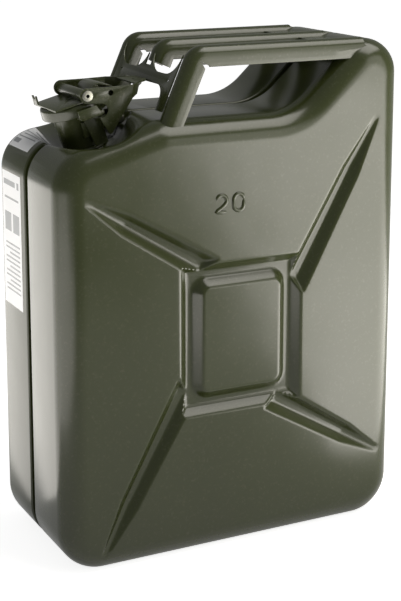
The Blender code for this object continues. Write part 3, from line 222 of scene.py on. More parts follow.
# The raised 2 and 0 on the front face, and the steps round and at the ends of a stroke
NUMERAL_STROKE = 0.0037
NUMERAL_HEIGHT = 0.0014
NUMERAL_LOW = 0.3218
NUMERAL_HIGH = 0.3372
TWO_BOWL = 0.0051
TWO_BOWL_X = -0.0186
TWO_SLANT = ((-0.0150, 0.0086), (-0.0190, 0.0118))
TWO_FOOT = (-0.0224, 0.0018)
TWO_LEFT = -0.0237
TWO_WIDTH = 0.0104
ZERO_BOWL = 0.0050
ZERO_X = -0.0012
ZERO_RIGHT = 0.0038
BOWL_STEPS = 12
STROKE_STEPS = 20
STROKE_END = 3
STROKE_TIP = 0.25

# The photograph's camera, in metres and radians, and its frame in pixels
IMAGE_HEIGHT = 601
FOCAL_PIXELS = 1476.6
SENSOR = 36.0
CAMERA_PLACE = (-0.6133, -1.2203, 0.6102)
CAMERA_HEADING = math.radians(26.76)
CAMERA_PITCH = math.radians(11.42)
CAMERA_SHIFT = -0.2

# The studio
FLOOR_SIZE = 6.0
FLOOR_FRONT = -0.9
FLOOR_GLOW = 0.85
MIRRORED_GLOW = 0.35
FLOOR_DROP = 0.1 * MM
FLOOR_TONES = ((0.84, 0.84, 0.84, 1), (0.88, 0.88, 0.88, 1))
WHITE = (1, 1, 1, 1)
CAN_MIDDLE = Vector((0, 0, 0.22))
LAMP_COLOUR = (1.0, 0.96, 0.90)
# Each lamp's place, what it faces, its size and the value that sets its power; the boards face upwards
LAMPS = (("key_lamp", (1.05, -1.35, 0.62), CAN_MIDDLE, (1.0, 1.1), "key_power"),
         ("top_lamp", (0.70, -0.50, 1.75), CAN_MIDDLE, (1.3, 1.1), "top_power"),
         ("front_board", (0.87, -0.965, 0.11), (0.837, -0.871, 1.11), (0.8, 1.9), "front_power"),
         ("side_board", (-0.825, 0.95, 0.03), (-0.825, 0.94, 1.03), (1.25, 1.8), "side_power"),
         ("left_board", (-1.05, -0.42, 0.03), (-1.05, -0.43, 1.03), (1.2, 0.94), "left_power"))

# The finish of a slot's pieces, where a piece names no other, and the angle in degrees up to which faces blend
SLOT_FINISHES = {"olive_enamel": "glossy_olive_enamel", "olive_fittings": "fittings_enamel",
                 "plated_steel": "zinc_plated_steel", "black_rubber": "nitrile_rubber"}
SMOOTH_ANGLE = 40.0


# Values a user may change

def linear(code):
    """An sRGB hex colour as linear red, green and blue."""
    channels = [int(code[index:index + 2], 16) / 255 for index in (0, 2, 4)]
    return [value / 12.92 if value <= 0.04045 else ((value + 0.055) / 1.055) ** 2.4 for value in channels]


class FuelCanBody(bpy.types.PropertyGroup):
    """Sizes of the pressed half shells."""
    mesh_step: bpy.props.FloatProperty(name="Mesh Step", description="Spacing of the panel's mesh", default=0.0025,
                                       min=0.001, unit="LENGTH")
    press_depth: bpy.props.FloatProperty(name="Press Depth", description="Depth of the pressed channels",
                                         default=0.008, unit="LENGTH")
    press_fillet: bpy.props.FloatProperty(name="Press Fillet", description="Reach of the soft edges of a channel",
                                          default=0.0014, unit="LENGTH")
    seat_fillet: bpy.props.FloatProperty(name="Seat Fillet", description="Reach of the soft edge of the neck's seat",
                                         default=0.004, unit="LENGTH")
    sheet: bpy.props.FloatProperty(name="Sheet", description="Thickness of the steel sheet", default=0.001,
                                   unit="LENGTH")


class FuelCanFinish(bpy.types.PropertyGroup):
    """Colours of the can's finishes."""
    enamel: bpy.props.FloatVectorProperty(name="Enamel", description="Olive enamel on the can", subtype="COLOR",
                                          size=3, default=linear("2F3518"), min=0, max=1)
    fittings: bpy.props.FloatVectorProperty(name="Fittings", description="Olive enamel on the closure",
                                            subtype="COLOR", size=3, default=linear("363C20"), min=0, max=1)
    paper: bpy.props.FloatVectorProperty(name="Label Paper", description="White face of the stickers", subtype="COLOR",
                                         size=3, default=linear("EDEFF2"), min=0, max=1)
    ink: bpy.props.FloatVectorProperty(name="Label Ink", description="Plain bars printed on the stickers",
                                       subtype="COLOR", size=3, default=linear("8E9296"), min=0, max=1)


class FuelCanStage(bpy.types.PropertyGroup):
    """Strengths of the studio's lamps."""
    key_power: bpy.props.FloatProperty(name="Key", description="Power of the lamp in front in watts", default=7.0,
                                       min=0)
    top_power: bpy.props.FloatProperty(name="Top", description="Power of the lamp above in watts", default=21.0, min=0)
    front_power: bpy.props.FloatProperty(name="Front Board", description="Power of the lit board in front in watts",
                                         default=29.0, min=0)
    side_power: bpy.props.FloatProperty(name="Side Board", description="Power of the lit board at the side in watts",
                                        default=14.0, min=0)
    left_power: bpy.props.FloatProperty(name="Left Board", description="Power of the lit board on the left in watts",
                                        default=8.5, min=0)
    sky: bpy.props.FloatProperty(name="Sky", description="Strength of the even light from all round", default=0.2,
                                 min=0)
    mirrored_sky: bpy.props.FloatProperty(name="Mirrored Sky", description="Strength of the sky as gloss shows it",
                                          default=0.3, min=0)


# Meshes into pieces

def mesh_of(name, shape):
    """A mesh made of a bmesh, which is used up."""
    mesh = bpy.data.meshes.new(name)
    shape.to_mesh(mesh)
    shape.free()
    return mesh


def new_object(name, data):
    """A new object in the scene that holds the data."""
    made = bpy.data.objects.new(name, data)
    bpy.context.scene.collection.objects.link(made)
    return made


def new_piece(name, shape, body, slot, nodes=(), smooth_angle=SMOOTH_ANGLE, look=None):
    """Make a bmesh a finished piece that rides on a body and stands for those nodes."""
    mesh = mesh_of(name, shape)
    piece = new_object(name, mesh)
    mesh.materials.append(finish(look or SLOT_FINISHES[slot]))
    mesh.shade_smooth()
    mesh.set_sharp_from_angle(angle=math.radians(smooth_angle))
    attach(piece, body)
    if nodes:
        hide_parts(*nodes)
    return piece


def ring_edges(shape, ring):
    """The edges round a closed ring of vertices."""
    return [shape.edges.get(pair) for pair in zip(ring, ring[1:] + ring[:1])]


def ring_of(shape, places):
    """Start a closed ring of vertices at those places."""
    ring = [shape.verts.new(place) for place in places]
    for pair in zip(ring, ring[1:] + ring[:1]):
        shape.edges.new(pair)
    return ring


def extrude_ring(shape, ring, places):
    """Extrude a ring of vertices to new places, and return the new ring."""
    made = set(bmesh.ops.extrude_edge_only(shape, edges=ring_edges(shape, ring))["geom"])
    twins = []
    for corner, place in zip(ring, places):
        twin = next(edge.other_vert(corner) for edge in corner.link_edges if edge.other_vert(corner) in made)
        twin.co = place
        twins.append(twin)
    return twins


def run_through(shape, rings):
    """Run a skin through rings of as many places each, and return its first and last ring of vertices."""
    first = last = ring_of(shape, rings[0])
    for places in rings[1:]:
        last = extrude_ring(shape, last, places)
    return first, last


def loft(rings):
    """A solid run through rings of as many places each."""
    shape = bmesh.new()
    for ring in run_through(shape, rings):
        bmesh.ops.contextual_create(shape, geom=ring_edges(shape, ring))
    bmesh.ops.recalc_face_normals(shape, faces=shape.faces)
    return shape


def arc(centre_x, centre_z, radius, start, end, steps):
    """Points round a centre from one angle to another, both in radians."""
    points = []
    for index in range(steps + 1):
        angle = start + (end - start) * index / steps
        points.append((centre_x + radius * math.cos(angle), centre_z + radius * math.sin(angle)))
    return points


def turned(profile, place):
    """A closed profile of (radius, height) pairs spun round place's own Z."""
    shape = bmesh.new()
    ring = ring_of(shape, [(radius, 0, height) for radius, height in profile])
    bmesh.ops.spin(shape, geom=ring + ring_edges(shape, ring), cent=(0, 0, 0), axis=(0, 0, 1), angle=math.tau,
                   steps=TURN_STEPS, use_merge=True)
    bmesh.ops.remove_doubles(shape, verts=shape.verts, dist=JOIN_WITHIN)
    bmesh.ops.recalc_face_normals(shape, faces=shape.faces)
    bmesh.ops.transform(shape, matrix=place, verts=shape.verts)
    return shape


def softened_copy(node, width):
    """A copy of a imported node's mesh with its sharp edges rounded over by width."""
    shape = bmesh.new()
    shape.from_mesh(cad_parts[node].data)
    bmesh.ops.remove_doubles(shape, verts=shape.verts, dist=JOIN_WITHIN)
    bmesh.ops.dissolve_limit(shape, angle_limit=FLAT_ANGLE, verts=shape.verts, edges=shape.edges)
    sharp = [edge for edge in shape.edges if edge.is_manifold and edge.calc_face_angle() > SHARP_ANGLE]
    bmesh.ops.bevel(shape, geom=sharp, offset=width, offset_type="OFFSET", segments=2, profile=0.5,
                    affect="EDGES", clamp_overlap=True, material=-1)
    return shape


def smooth_max(first, second, reach):
    """The larger of two values, with a soft change from one to the other."""
    blend = max(reach - abs(first - second), 0) / reach
    return max(first, second) + blend * blend * reach / 4


def smooth_min(first, second, reach):
    """The smaller of two values, with a soft change from one to the other."""
    return -smooth_max(-first, -second, reach)


# The can's outline

def outline_corners():
    """The corners of the outline in x and z, anticlockwise, each with its rounding (negative when it bends inward)."""
    crown_x = HALF_WIDTH - HUMP_RADIUS
    crown_z = HUMP_HEIGHT - HUMP_RADIUS
    rise = Vector((crown_x - HUMP_RADIUS * math.sin(HUMP_SLOPE), crown_z + HUMP_RADIUS * math.cos(HUMP_SLOPE)))
    slope = math.tan(HUMP_SLOPE)
    return [
        (Vector((-HALF_WIDTH, 0)), BOTTOM_RADIUS),
        (Vector((HALF_WIDTH, 0)), BOTTOM_RADIUS),
        (Vector((HALF_WIDTH, rise.y + (HALF_WIDTH - rise.x) * slope)), HUMP_RADIUS),
        (Vector((rise.x - (rise.y - SADDLE_HEIGHT) / slope, SADDLE_HEIGHT)), -HUMP_FOOT_RADIUS),
        (Vector((-HALF_WIDTH + SHOULDER_DROP / math.tan(SHOULDER_SLOPE), SADDLE_HEIGHT)), SADDLE_END_RADIUS),
        (Vector((-HALF_WIDTH, SADDLE_HEIGHT - SHOULDER_DROP)), SHOULDER_RADIUS),
    ]


def corner_arc(corners, index, inset, step):
    """The rounded corner, moved inward by inset about its own fixed centre."""
    before = corners[index - 1][0]
    here, radius = corners[index]
    after = corners[(index + 1) % len(corners)][0]
    heading = (here - before).normalized()
    leaving = (after - here).normalized()
    turn = math.atan2(heading.cross(leaving), heading.dot(leaving))
    bend = math.copysign(1, turn)
    size = abs(radius)
    inward = Vector((-heading.y, heading.x))
    centre = here - heading * (size * math.tan(abs(turn) / 2)) + inward * (bend * size)
    steps = max(CORNER_STEPS, round(size * abs(turn) / step))
    points = []
    for part in range(steps + 1):
        normal = Matrix.Rotation(turn * part / steps, 2) @ inward
        points.append(centre - normal * (bend * (size - bend * inset)))
    return points


def outline_ring(inset, step):
    """The whole outline as evenly spread points, moved inward by inset."""
    corners = outline_corners()
    arcs = [corner_arc(corners, index, inset, step) for index in range(len(corners))]
    ring = []
    for points, following in zip(arcs, arcs[1:] + arcs[:1]):
        ring += points
        pieces = max(1, round((following[0] - points[-1]).length / step))
        ring += [points[-1].lerp(following[0], part / pieces) for part in range(1, pieces)]
    return ring


def inside_outline(points, inset, step):
    """Which of the points, rows of x and z, lie inside the outline moved inward by inset."""
    ring = numpy.array(outline_ring(inset, step))
    across, up = points[:, 0], points[:, 1]
    inside = numpy.zeros(len(points), bool)
    for (x1, z1), (x2, z2) in zip(ring, numpy.roll(ring, -1, axis=0)):
        spans = (z1 > up) != (z2 > up)
        if z1 != z2:
            inside ^= spans & (across < (x2 - x1) * (up - z1) / (z2 - z1) + x1)
    return inside


# Pressings, as depths below the broad face and heights above the neck's seat

def rounded_box_distance(point, half, corner):
    """How far a point lies outside a rounded rectangle, negative inside."""
    beyond = Vector((abs(point.x) - half.x + corner, abs(point.y) - half.y + corner))
    outside = Vector((max(beyond.x, 0), max(beyond.y, 0))).length
    return outside + min(max(beyond.x, beyond.y), 0) - corner


def between(sections, share):
    """The width and depth shares of an arm at that share of its length."""
    for (start, wide, deep), (end, narrow, shallow) in zip(sections, sections[1:]):
        if share <= end:
            part = (share - start) / (end - start)
            return wide + (narrow - wide) * part, deep + (shallow - deep) * part
    return sections[-1][1:]


def arm_depth(point, root, tip, press, fillet):
    """The depth of one channel that runs out from the hub and fades into the face."""
    run = tip - root
    length = run.length
    ahead = (point - root).dot(run) / length
    aside = abs((point - root).cross(run)) / length
    width_share, depth_share = between(ARM_SECTIONS, min(max(ahead / length, 0), 1))
    wall = ARM_WIDTH * width_share / 2 - aside
    floor = press * depth_share
    ends = min(ahead + press * ARM_ROOT_REACH, (length - ahead) * ARM_TIP_SLOPE)
    return smooth_min(smooth_min(wall, floor, fillet), ends, fillet)


def press_depth(place, press, fillet):
    """The depth of the pinwheel pattern at a place on the can, negative outside it."""
    point = Vector((place.x - PATTERN_X, place.z - PATTERN_Z))
    edge = min(HUB_HALF.x - abs(point.x), HUB_HALF.y - abs(point.y))
    pad = rounded_box_distance(point, PAD_HALF, PAD_CORNER)
    depth = smooth_min(smooth_min(edge, pad, fillet), press, fillet)
    for root, tip in (STEEP_ARM, SHALLOW_ARM):
        for turn in (1, -1):
            arm = smooth_min(arm_depth(point, root * turn, tip * turn, press, fillet), pad, fillet)
            depth = smooth_max(depth, arm, fillet)
    return depth


def neck_frame():
    """A frame at the neck's foot whose Z runs up the neck and whose X runs back along the seat."""
    return Matrix.Translation(NECK_FOOT) @ Matrix.Rotation(-NECK_LEAN, 4, "Y")


def dish_height(back, across):
    """The height of the seat's side above its floor, found by halving."""
    def outside(height):
        length = SEAT_HALF.x + height * SEAT_DRAFTS[0]
        width = SEAT_HALF.y + height * SEAT_DRAFTS[1]
        return ((back - SEAT_SHIFT) / length) ** 2 + (across / width) ** 2 > 1
    if not outside(0):
        return 0.0
    low, high = 0.0, SEAT_HEIGHT_LIMIT
    for _ in range(SEAT_HALVINGS):
        middle = (low + high) / 2
        if outside(middle):
            low = middle
        else:
            high = middle
    return high


def trough_height(back, across):
    """The height of the trough behind the seat, above the seat's floor."""
    if back < TROUGH_START:
        return NO_TROUGH
    reach = TROUGH_END - TROUGH_HALF_WIDTH
    aside = abs(across) if back <= reach else math.hypot(back - reach, across)
    floor = TROUGH_LIFT + TROUGH_RISE * (back - TROUGH_START) / (TROUGH_END - TROUGH_START)
    return floor + max(0.0, aside - TROUGH_HALF_WIDTH) / TROUGH_DRAFT


def sink_seat(verts, fillet, lift=0.0):
    """Lower the vertices above the seat and its trough on to them."""
    place = neck_frame()
    home = place.inverted()
    for vert in verts:
        if vert.co.z < SEAT_ZONE_LOW_Z or not SEAT_ZONE_X[0] <= vert.co.x <= SEAT_ZONE_X[1]:
            continue
        spot = home @ vert.co
        cut = smooth_min(dish_height(spot.x, spot.y), trough_height(spot.x, spot.y), fillet) + lift
        spot.z = smooth_min(spot.z, cut, fillet)
        vert.co = place @ spot


def shell_stations():
    """(distance from the seam, inset) pairs from the groove's floor out to the broad face's edge."""
    stations = [(SEAM_END, SEAM_DEPTH), (SEAM_HALF_WIDTH - SEAM_FLOOR_STEP, SEAM_DEPTH),
                (SEAM_HALF_WIDTH, SEAM_DEPTH - SEAM_FLOOR_STEP)]
    for index in range(SEAM_LIP_STEPS + 1):
        angle = math.pi / 2 * index / SEAM_LIP_STEPS
        stations.append((SEAM_HALF_WIDTH + SEAM_LIP * (1 - math.cos(angle)), SEAM_LIP * (1 - math.sin(angle))))
    for index in range(FACE_EDGE_STEPS + 1):
        angle = math.pi / 2 * index / FACE_EDGE_STEPS
        stations.append((HALF_DEPTH - FACE_EDGE * (1 - math.sin(angle)), FACE_EDGE * (1 - math.cos(angle))))
    return stations


def pressed_half(body):
    """One half of the can at y above 0, as an open skin with its pressings."""
    shape = bmesh.new()
    step = body.mesh_step
    rings = [[(point.x, away, point.y) for point in outline_ring(inset, step)] for away, inset in shell_stations()]
    _, rim = run_through(shape, rings)
    face_grid(shape, step, ring_edges(shape, rim))
    long_edges = [
        edge for edge in shape.edges
        if abs(edge.verts[0].co.y - edge.verts[1].co.y) > LONG_EDGE and edge.verts[0].co.z > LONG_EDGES_LOW_Z
        and LONG_EDGES_X[0] < edge.verts[0].co.x < LONG_EDGES_X[1]
    ]
    bmesh.ops.subdivide_edges(shape, edges=long_edges, cuts=LONG_EDGE_CUTS, use_grid_fill=True)
    bmesh.ops.subdivide_edges(shape, edges=pressed_edges(shape, body), cuts=1, use_grid_fill=True)
    for vert in shape.verts:
        if vert.co.y > HALF_DEPTH - FACE_EDGE:
            depth = press_depth(vert.co, body.press_depth, body.press_fillet)
            vert.co.y = HALF_DEPTH - smooth_max(HALF_DEPTH - vert.co.y, depth, body.press_fillet)
    sink_seat(shape.verts, body.seat_fillet)
    open_neck_hole(shape)
    bmesh.ops.recalc_face_normals(shape, faces=shape.faces)
    outermost = max(shape.faces, key=lambda face: face.calc_center_median().y)
    if outermost.normal.y < 0:
        bmesh.ops.reverse_faces(shape, faces=shape.faces)
    return shape


def pressed_edges(shape, body):
    """The edges of the flat face that lie on the slopes of a pressing."""
    near = []
    for edge in shape.edges:
        middle = (edge.verts[0].co + edge.verts[1].co) / 2
        if middle.y > HALF_DEPTH - MM:
            depth = press_depth(middle, body.press_depth, body.press_fillet)
            if -body.press_fillet * PRESSED_FILLETS < depth < body.press_depth - LEVEL_WITHIN:
                near.append(edge)
    return near


def face_grid(shape, step, rim):
    """Fill the broad face inside its rim with an even grid, joined to the rim by triangles."""
    across = math.ceil(HALF_WIDTH * 2 / step)
    up = math.ceil(HUMP_HEIGHT / step)
    place = (Matrix.Translation((0, HALF_DEPTH, HUMP_HEIGHT / 2)) @ Matrix.Rotation(math.pi / 2, 4, "X")
             @ Matrix.Diagonal((HALF_WIDTH, HUMP_HEIGHT / 2, 1, 1)))
    before = set(shape.verts)
    bmesh.ops.create_grid(shape, x_segments=across, y_segments=up, size=1, matrix=place)
    grid = [vert for vert in shape.verts if vert not in before]
    points = numpy.array([(vert.co.x, vert.co.z) for vert in grid])
    keep =inside_outline(points, FACE_EDGE + step * GRID_GAP, step)
    outside = [vert for vert, kept in zip(grid, keep) if not kept]
    bmesh.ops.delete(shape, geom=outside, context="VERTS")
    inner = {vert for vert in shape.verts if vert not in before}
    edge_of_grid = [edge for edge in shape.edges if len(edge.link_faces) == 1 and edge.verts[0] in inner]
    loose = [vert for vert in inner if not vert.link_faces]
    bmesh.ops.delete(shape, geom=loose, context="VERTS")
    bmesh.ops.triangle_fill(shape, use_beauty=True, use_dissolve=False, edges=edge_of_grid + rim, normal=(0, 1, 0))


def open_neck_hole(shape):
    """Open the hole that the neck passes through, its rim drawn on to a true circle."""
    place = neck_frame()
    home = place.inverted()
    for vert in shape.verts:
        if vert.co.z < NECK_HOLE_LOW_Z:
            continue
        spot = home @ vert.co
        away = math.hypot(spot.x, spot.y)
        if abs(away - NECK_HOLE) < NECK_HOLE_REACH and abs(spot.z) < NECK_HOLE_HEIGHT:
            spot.x *= NECK_HOLE / away
            spot.y *= NECK_HOLE / away
            vert.co = place @ spot
    gone = []
    for face in shape.faces:
        spot = home @ face.calc_center_median()
        if math.hypot(spot.x, spot.y) < NECK_HOLE and abs(spot.z) < NECK_HOLE_HEIGHT:
            gone.append(face)
    bmesh.ops.delete(shape, geom=gone, context="FACES")


def mirrored(shape):
    """A copy of a half-built skin, on the other side of the seam."""
    other = shape.copy()
    bmesh.ops.scale(other, vec=(1, -1, 1), verts=other.verts)
    bmesh.ops.reverse_faces(other, faces=other.faces)
    return other


def weld_bead(body):
    """The rippled weld on the floor of the seam's groove, broken at the neck."""
    shape = bmesh.new()
    step = body.mesh_step / 2
    depth = SEAM_DEPTH + WELD_SINK
    floor = outline_ring(depth, step)
    deeper = outline_ring(depth + MM, step)
    inward = [(low - high).normalized() for high, low in zip(floor, deeper)]
    sizes = []
    travelled = 0.0
    for index, point in enumerate(floor):
        travelled += (point - floor[index - 1]).length if index else 0
        ripple = WELD_RIPPLE * math.sin(math.tau * travelled / WELD_RIPPLE_LENGTH)
        spot = (point.x * WELD_WANDER_RATE, point.y * WELD_WANDER_RATE, WELD_WANDER_SEED)
        sizes.append(1 + ripple + WELD_WANDER * noise.noise(spot))
    rings = []
    for part in range(WELD_STEPS + 1):
        angle = math.pi * part / WELD_STEPS
        places = []
        for point, away, size in zip(floor, inward, sizes):
            spot = (point.x * WELD_SWAY_RATE, point.y * WELD_SWAY_RATE, WELD_SWAY_SEED)
            sway = WELD_SWAY * noise.noise(spot)
            high = point - away * (WELD_HEIGHT * size * math.sin(angle))
            places.append((high.x, sway + WELD_HALF_WIDTH * size * math.cos(angle), high.y))
        rings.append(places)
    first, last = run_through(shape, rings)
    bmesh.ops.bridge_loops(shape, edges=ring_edges(shape, first) + ring_edges(shape, last))
    sink_seat(shape.verts, body.seat_fillet, WELD_LIFT)
    home = neck_frame().inverted()
    gone = []
    for vert in shape.verts:
        spot = home @ vert.co
        if math.hypot(spot.x, spot.y) < NECK_HOLE + MM and vert.co.z > NECK_HOLE_LOW_Z:
            gone.append(vert)
    bmesh.ops.delete(shape, geom=gone, context="VERTS")
    bmesh.ops.holes_fill(shape, edges=[edge for edge in shape.edges if edge.is_boundary], sides=0)
    bmesh.ops.recalc_face_normals(shape, faces=shape.faces)
    return shape


# The handles

def channel_section():
    """(outward, across) pairs round a bar's section: a round back with straight skirts and rolled edges."""
    inner = HANDLE_RADIUS - HANDLE_SHEET
    lip = HANDLE_SHEET / 2

    def rolled_edge(middle):
        return [(-HANDLE_SKIRT - lip * math.sin(angle), middle - lip * math.cos(angle))
                for angle in (math.pi * 0.25, math.pi * 0.5, math.pi * 0.75)]

    section = [(height, across) for across, height in arc(0, 0, HANDLE_RADIUS, 0, math.pi, BACK_STEPS)]
    section += [(-HANDLE_SKIRT * share, -HANDLE_RADIUS) for share in SKIRT_SHARES]
    section += rolled_edge(-HANDLE_RADIUS + lip)
    section += [(-HANDLE_SKIRT, -inner)]
    section += [(height, across) for across, height in arc(0, 0, inner, math.pi, 0, BACK_STEPS)]
    section += [(-HANDLE_SKIRT, inner)]
    section += rolled_edge(HANDLE_RADIUS - lip)
    section += [(-HANDLE_SKIRT * share, HANDLE_RADIUS) for share in SKIRT_SHARES[::-1]]
    return section


def handle_stations(low_z):
    """(x, z, outward angle) stations from the leg's foot round the bend to the hump."""
    level = HANDLE_TOP - HANDLE_RADIUS
    outward_leg = math.pi - LEG_SLOPE
    bend_z = level - HANDLE_BEND_RADIUS
    face = HANDLE_BEND_RADIUS + HANDLE_RADIUS
    face_z = bend_z + face * math.sin(outward_leg)
    centre_x = HANDLE_FOOT_X + (face_z - SADDLE_HEIGHT) * math.tan(LEG_SLOPE) - face * math.cos(outward_leg)
    bend = []
    for step in range(BEND_STEPS + 1):
        angle = outward_leg + (math.pi / 2 - outward_leg) * step / BEND_STEPS
        bend.append((centre_x + HANDLE_BEND_RADIUS * math.cos(angle), bend_z + HANDLE_BEND_RADIUS * math.sin(angle),
                     angle))
    start_x, start_z, angle = bend[0]
    legs = []
    for share in LEG_SHARES:
        drop = (start_z - low_z) * share
        legs.append((start_x - drop * math.tan(LEG_SLOPE), start_z - drop, angle))
    end_x = bend[-1][0]
    bars = [(end_x + (HANDLE_END_X - end_x) * share, level, math.pi / 2) for share in BAR_SHARES]
    return legs + bend + bars


def land(verts, heading, skin, most):
    """Move each vertex along the heading until it stands on the skin, most at the furthest."""
    for vert in verts:
        start = vert.co - heading * most / 2
        _, _, _, distance = skin.ray_cast(start, heading, most * 1.5)
        if distance is not None:
            vert.co = start + heading * distance


def handle_bar(centre_y, low_z, skin):
    """One channel bar, its foot and its far end landed on the can's skin."""
    section = channel_section()
    rings = [[(x + outward * math.cos(angle), centre_y + across, z + outward * math.sin(angle))
              for outward, across in section] for x, z, angle in handle_stations(low_z)]
    shape = loft(rings)
    shape.verts.ensure_lookup_table()
    count = len(rings[0])
    heading = Vector((-math.sin(LEG_SLOPE), 0, -math.cos(LEG_SLOPE)))
    if centre_y:
        land(shape.verts[:count], heading, skin, FOOT_REACH)
    land(shape.verts[-count:], Vector((1, 0, 0)), skin, END_REACH)
    return shape


def slit(centre_y):
    """The narrow wedge left open in the skirts on the inside of a bar's bend."""
    x, z, angle = handle_stations(SADDLE_HEIGHT)[SLIT_STATION]
    place = Matrix.Translation((x, centre_y, z)) @ Matrix.Rotation(-angle, 4, "Y")
    wedge = bmesh.new()
    bmesh.ops.create_cone(wedge, cap_ends=True, segments=3, radius1=SLIT_RADIUS, radius2=SLIT_RADIUS,
                          depth=SLIT_LENGTH)
    bmesh.ops.scale(wedge, vec=SLIT_STRETCH, verts=wedge.verts)
    for turn, axis in ((math.pi, "Z"), (math.pi / 2, "X")):
        bmesh.ops.rotate(wedge, cent=(0, 0, 0), matrix=Matrix.Rotation(turn, 3, axis), verts=wedge.verts)
    bmesh.ops.translate(wedge, vec=(SLIT_SHIFT, 0, 0), verts=wedge.verts)
    bmesh.ops.transform(wedge, matrix=place, verts=wedge.verts)
    return wedge


def cut_away(shape, cutter):
    """The shape with the cutter taken out of it by an exact Boolean."""
    pieces = [new_object("rough", mesh_of("rough", part)) for part in (shape, cutter)]
    step = pieces[0].modifiers.new("cut", "BOOLEAN")
    step.operation = "DIFFERENCE"
    step.solver = "EXACT"
    step.object = pieces[1]
    bpy.context.view_layer.update()
    evaluated = pieces[0].evaluated_get(bpy.context.evaluated_depsgraph_get())
    left = bmesh.new()
    left.from_mesh(evaluated.to_mesh())
    for piece in pieces:
        mesh = piece.data
        bpy.data.objects.remove(piece, do_unlink=True)
        bpy.data.meshes.remove(mesh)
    return left


# Stickers and raised numbers

def laid_grid(low, high, heading, skin, lift, cells):
    """A grid between two corners, dropped along the heading on to the skin and left standing off it by lift."""
    shape = bmesh.new()
    bmesh.ops.create_grid(shape, x_segments=cells[0], y_segments=cells[1], size=0.5)
    middle = (low + high) / 2
    span = high - low
    for vert in shape.verts:
        across, up = vert.co.x, vert.co.y
        start = Vector((middle.x + up * span.x, middle.y + across * span.y, middle.z + up * span.z))
        place, normal, _, _ = skin.ray_cast(start, heading, STICKER_REACH)
        if place is None:
            raise RuntimeError("A sticker lies beside the can")
        vert.co = place + normal * lift
    bmesh.ops.recalc_face_normals(shape, faces=shape.faces)
    face = next(iter(shape.faces))
    if face.normal.dot(heading) > 0:
        bmesh.ops.reverse_faces(shape, faces=shape.faces)
    bmesh.ops.solidify(shape, geom=shape.faces[:], thickness=lift * SOLID_SHARE)
    return shape


def stroke(points):
    """A raised stroke of oval section along points in x and z, its ends rounded, half sunk in the front face."""
    rings = []
    last = len(points) - 1
    for index, (x, z) in enumerate(points):
        before = Vector(points[max(index - 1, 0)])
        after = Vector(points[min(index + 1, last)])
        heading = (after - before).normalized()
        aside = Vector((-heading.y, heading.x))
        from_end = min(index, last - index)
        size = max(math.sqrt(1 - (1 - min(from_end / STROKE_END, 1)) ** 2), STROKE_TIP)
        places = []
        for part in range(STROKE_STEPS):
            angle = math.tau * part / STROKE_STEPS
            reach = aside * (NUMERAL_STROKE / 2 * size * math.cos(angle))
            places.append((x + reach.x, -HALF_DEPTH - NUMERAL_HEIGHT * size * math.sin(angle), z + reach.y))
        rings.append(places)
    return loft(rings)


def numeral_paths():
    """The middle lines of the raised 2 and 0, as points in x and z."""
    low, high = NUMERAL_LOW, NUMERAL_HIGH
    two = arc(TWO_BOWL_X, high - TWO_BOWL, TWO_BOWL, math.pi * 0.95, -math.pi * 0.12, BOWL_STEPS)
    two += [(x, high - drop) for x, drop in TWO_SLANT]
    two += [(TWO_FOOT[0], low + TWO_FOOT[1]), (TWO_LEFT, low)]
    two += [(TWO_LEFT + TWO_WIDTH * share, low) for share in (0.1, 0.25, 0.4, 0.6, 0.8, 1.0)]
    rise = high - low - ZERO_BOWL * 2
    zero = arc(ZERO_X, high - ZERO_BOWL, ZERO_BOWL, 0, math.pi, BOWL_STEPS)
    zero += arc(ZERO_X, high - ZERO_BOWL - rise, ZERO_BOWL, math.pi, math.tau, BOWL_STEPS)
    zero += [(ZERO_RIGHT, low + ZERO_BOWL + rise * share) for share in (0.33, 0.66, 0.98)]
    return two, zero


# Small helpers for the operators

def give_sheet(piece, thickness):
    """Give a skin the thickness of its sheet, inward."""
    wall = piece.modifiers.new("sheet", "SOLIDIFY")
    wall.thickness = thickness
    wall.offset = -1


def merged(shapes):
    """One bmesh that holds all of those."""
    whole = bmesh.new()
    for shape in shapes:
        mesh = mesh_of("rough", shape)
        whole.from_mesh(mesh)
        bpy.data.meshes.remove(mesh)
    return whole


def can_skin():
    """A search tree over the finished half shells."""
    whole = bmesh.new()
    for name in ("front_pressed_shell", "rear_pressed_shell"):
        whole.from_mesh(bpy.data.objects[name].data)
    tree = BVHTree.FromBMesh(whole)
    whole.free()
    return tree


def corners_between(low, high, shares):
    """The corners of a printed bar, given its two shares across and its two shares up its sticker."""
    left, right, bottom, top = shares
    span = high - low
    corners = ((left, bottom), (right, top))
    return [low + Vector((span.x * up, span.y * across, span.z * up)) for across, up in corners]


def cross_rod_frame(x, z):
    """A frame at that place on the seam's plane whose Z runs along the can's Y."""
    return Matrix.Translation((x, 0, z)) @ Matrix.Rotation(-math.pi / 2, 4, "X")


def rod_profile(radius, bore, half_length, head, head_height):
    """Half the section of a rod with a rounded head on each end, bored through where bore is more than nothing."""
    round_edge = head_height * ROD_ROUNDING
    outer = half_length + head_height
    profile = [(bore, -outer)]
    corner = round_edge * ROD_CORNER
    for side in (-1, 1):
        ends = [(head - round_edge, side * outer), (head - corner, side * (outer - corner)),
                (head, side * (outer - round_edge)), (head, side * half_length), (radius, side * half_length)]
        profile += ends if side == -1 else ends[::-1]
    profile.append((bore, outer))
    return profile


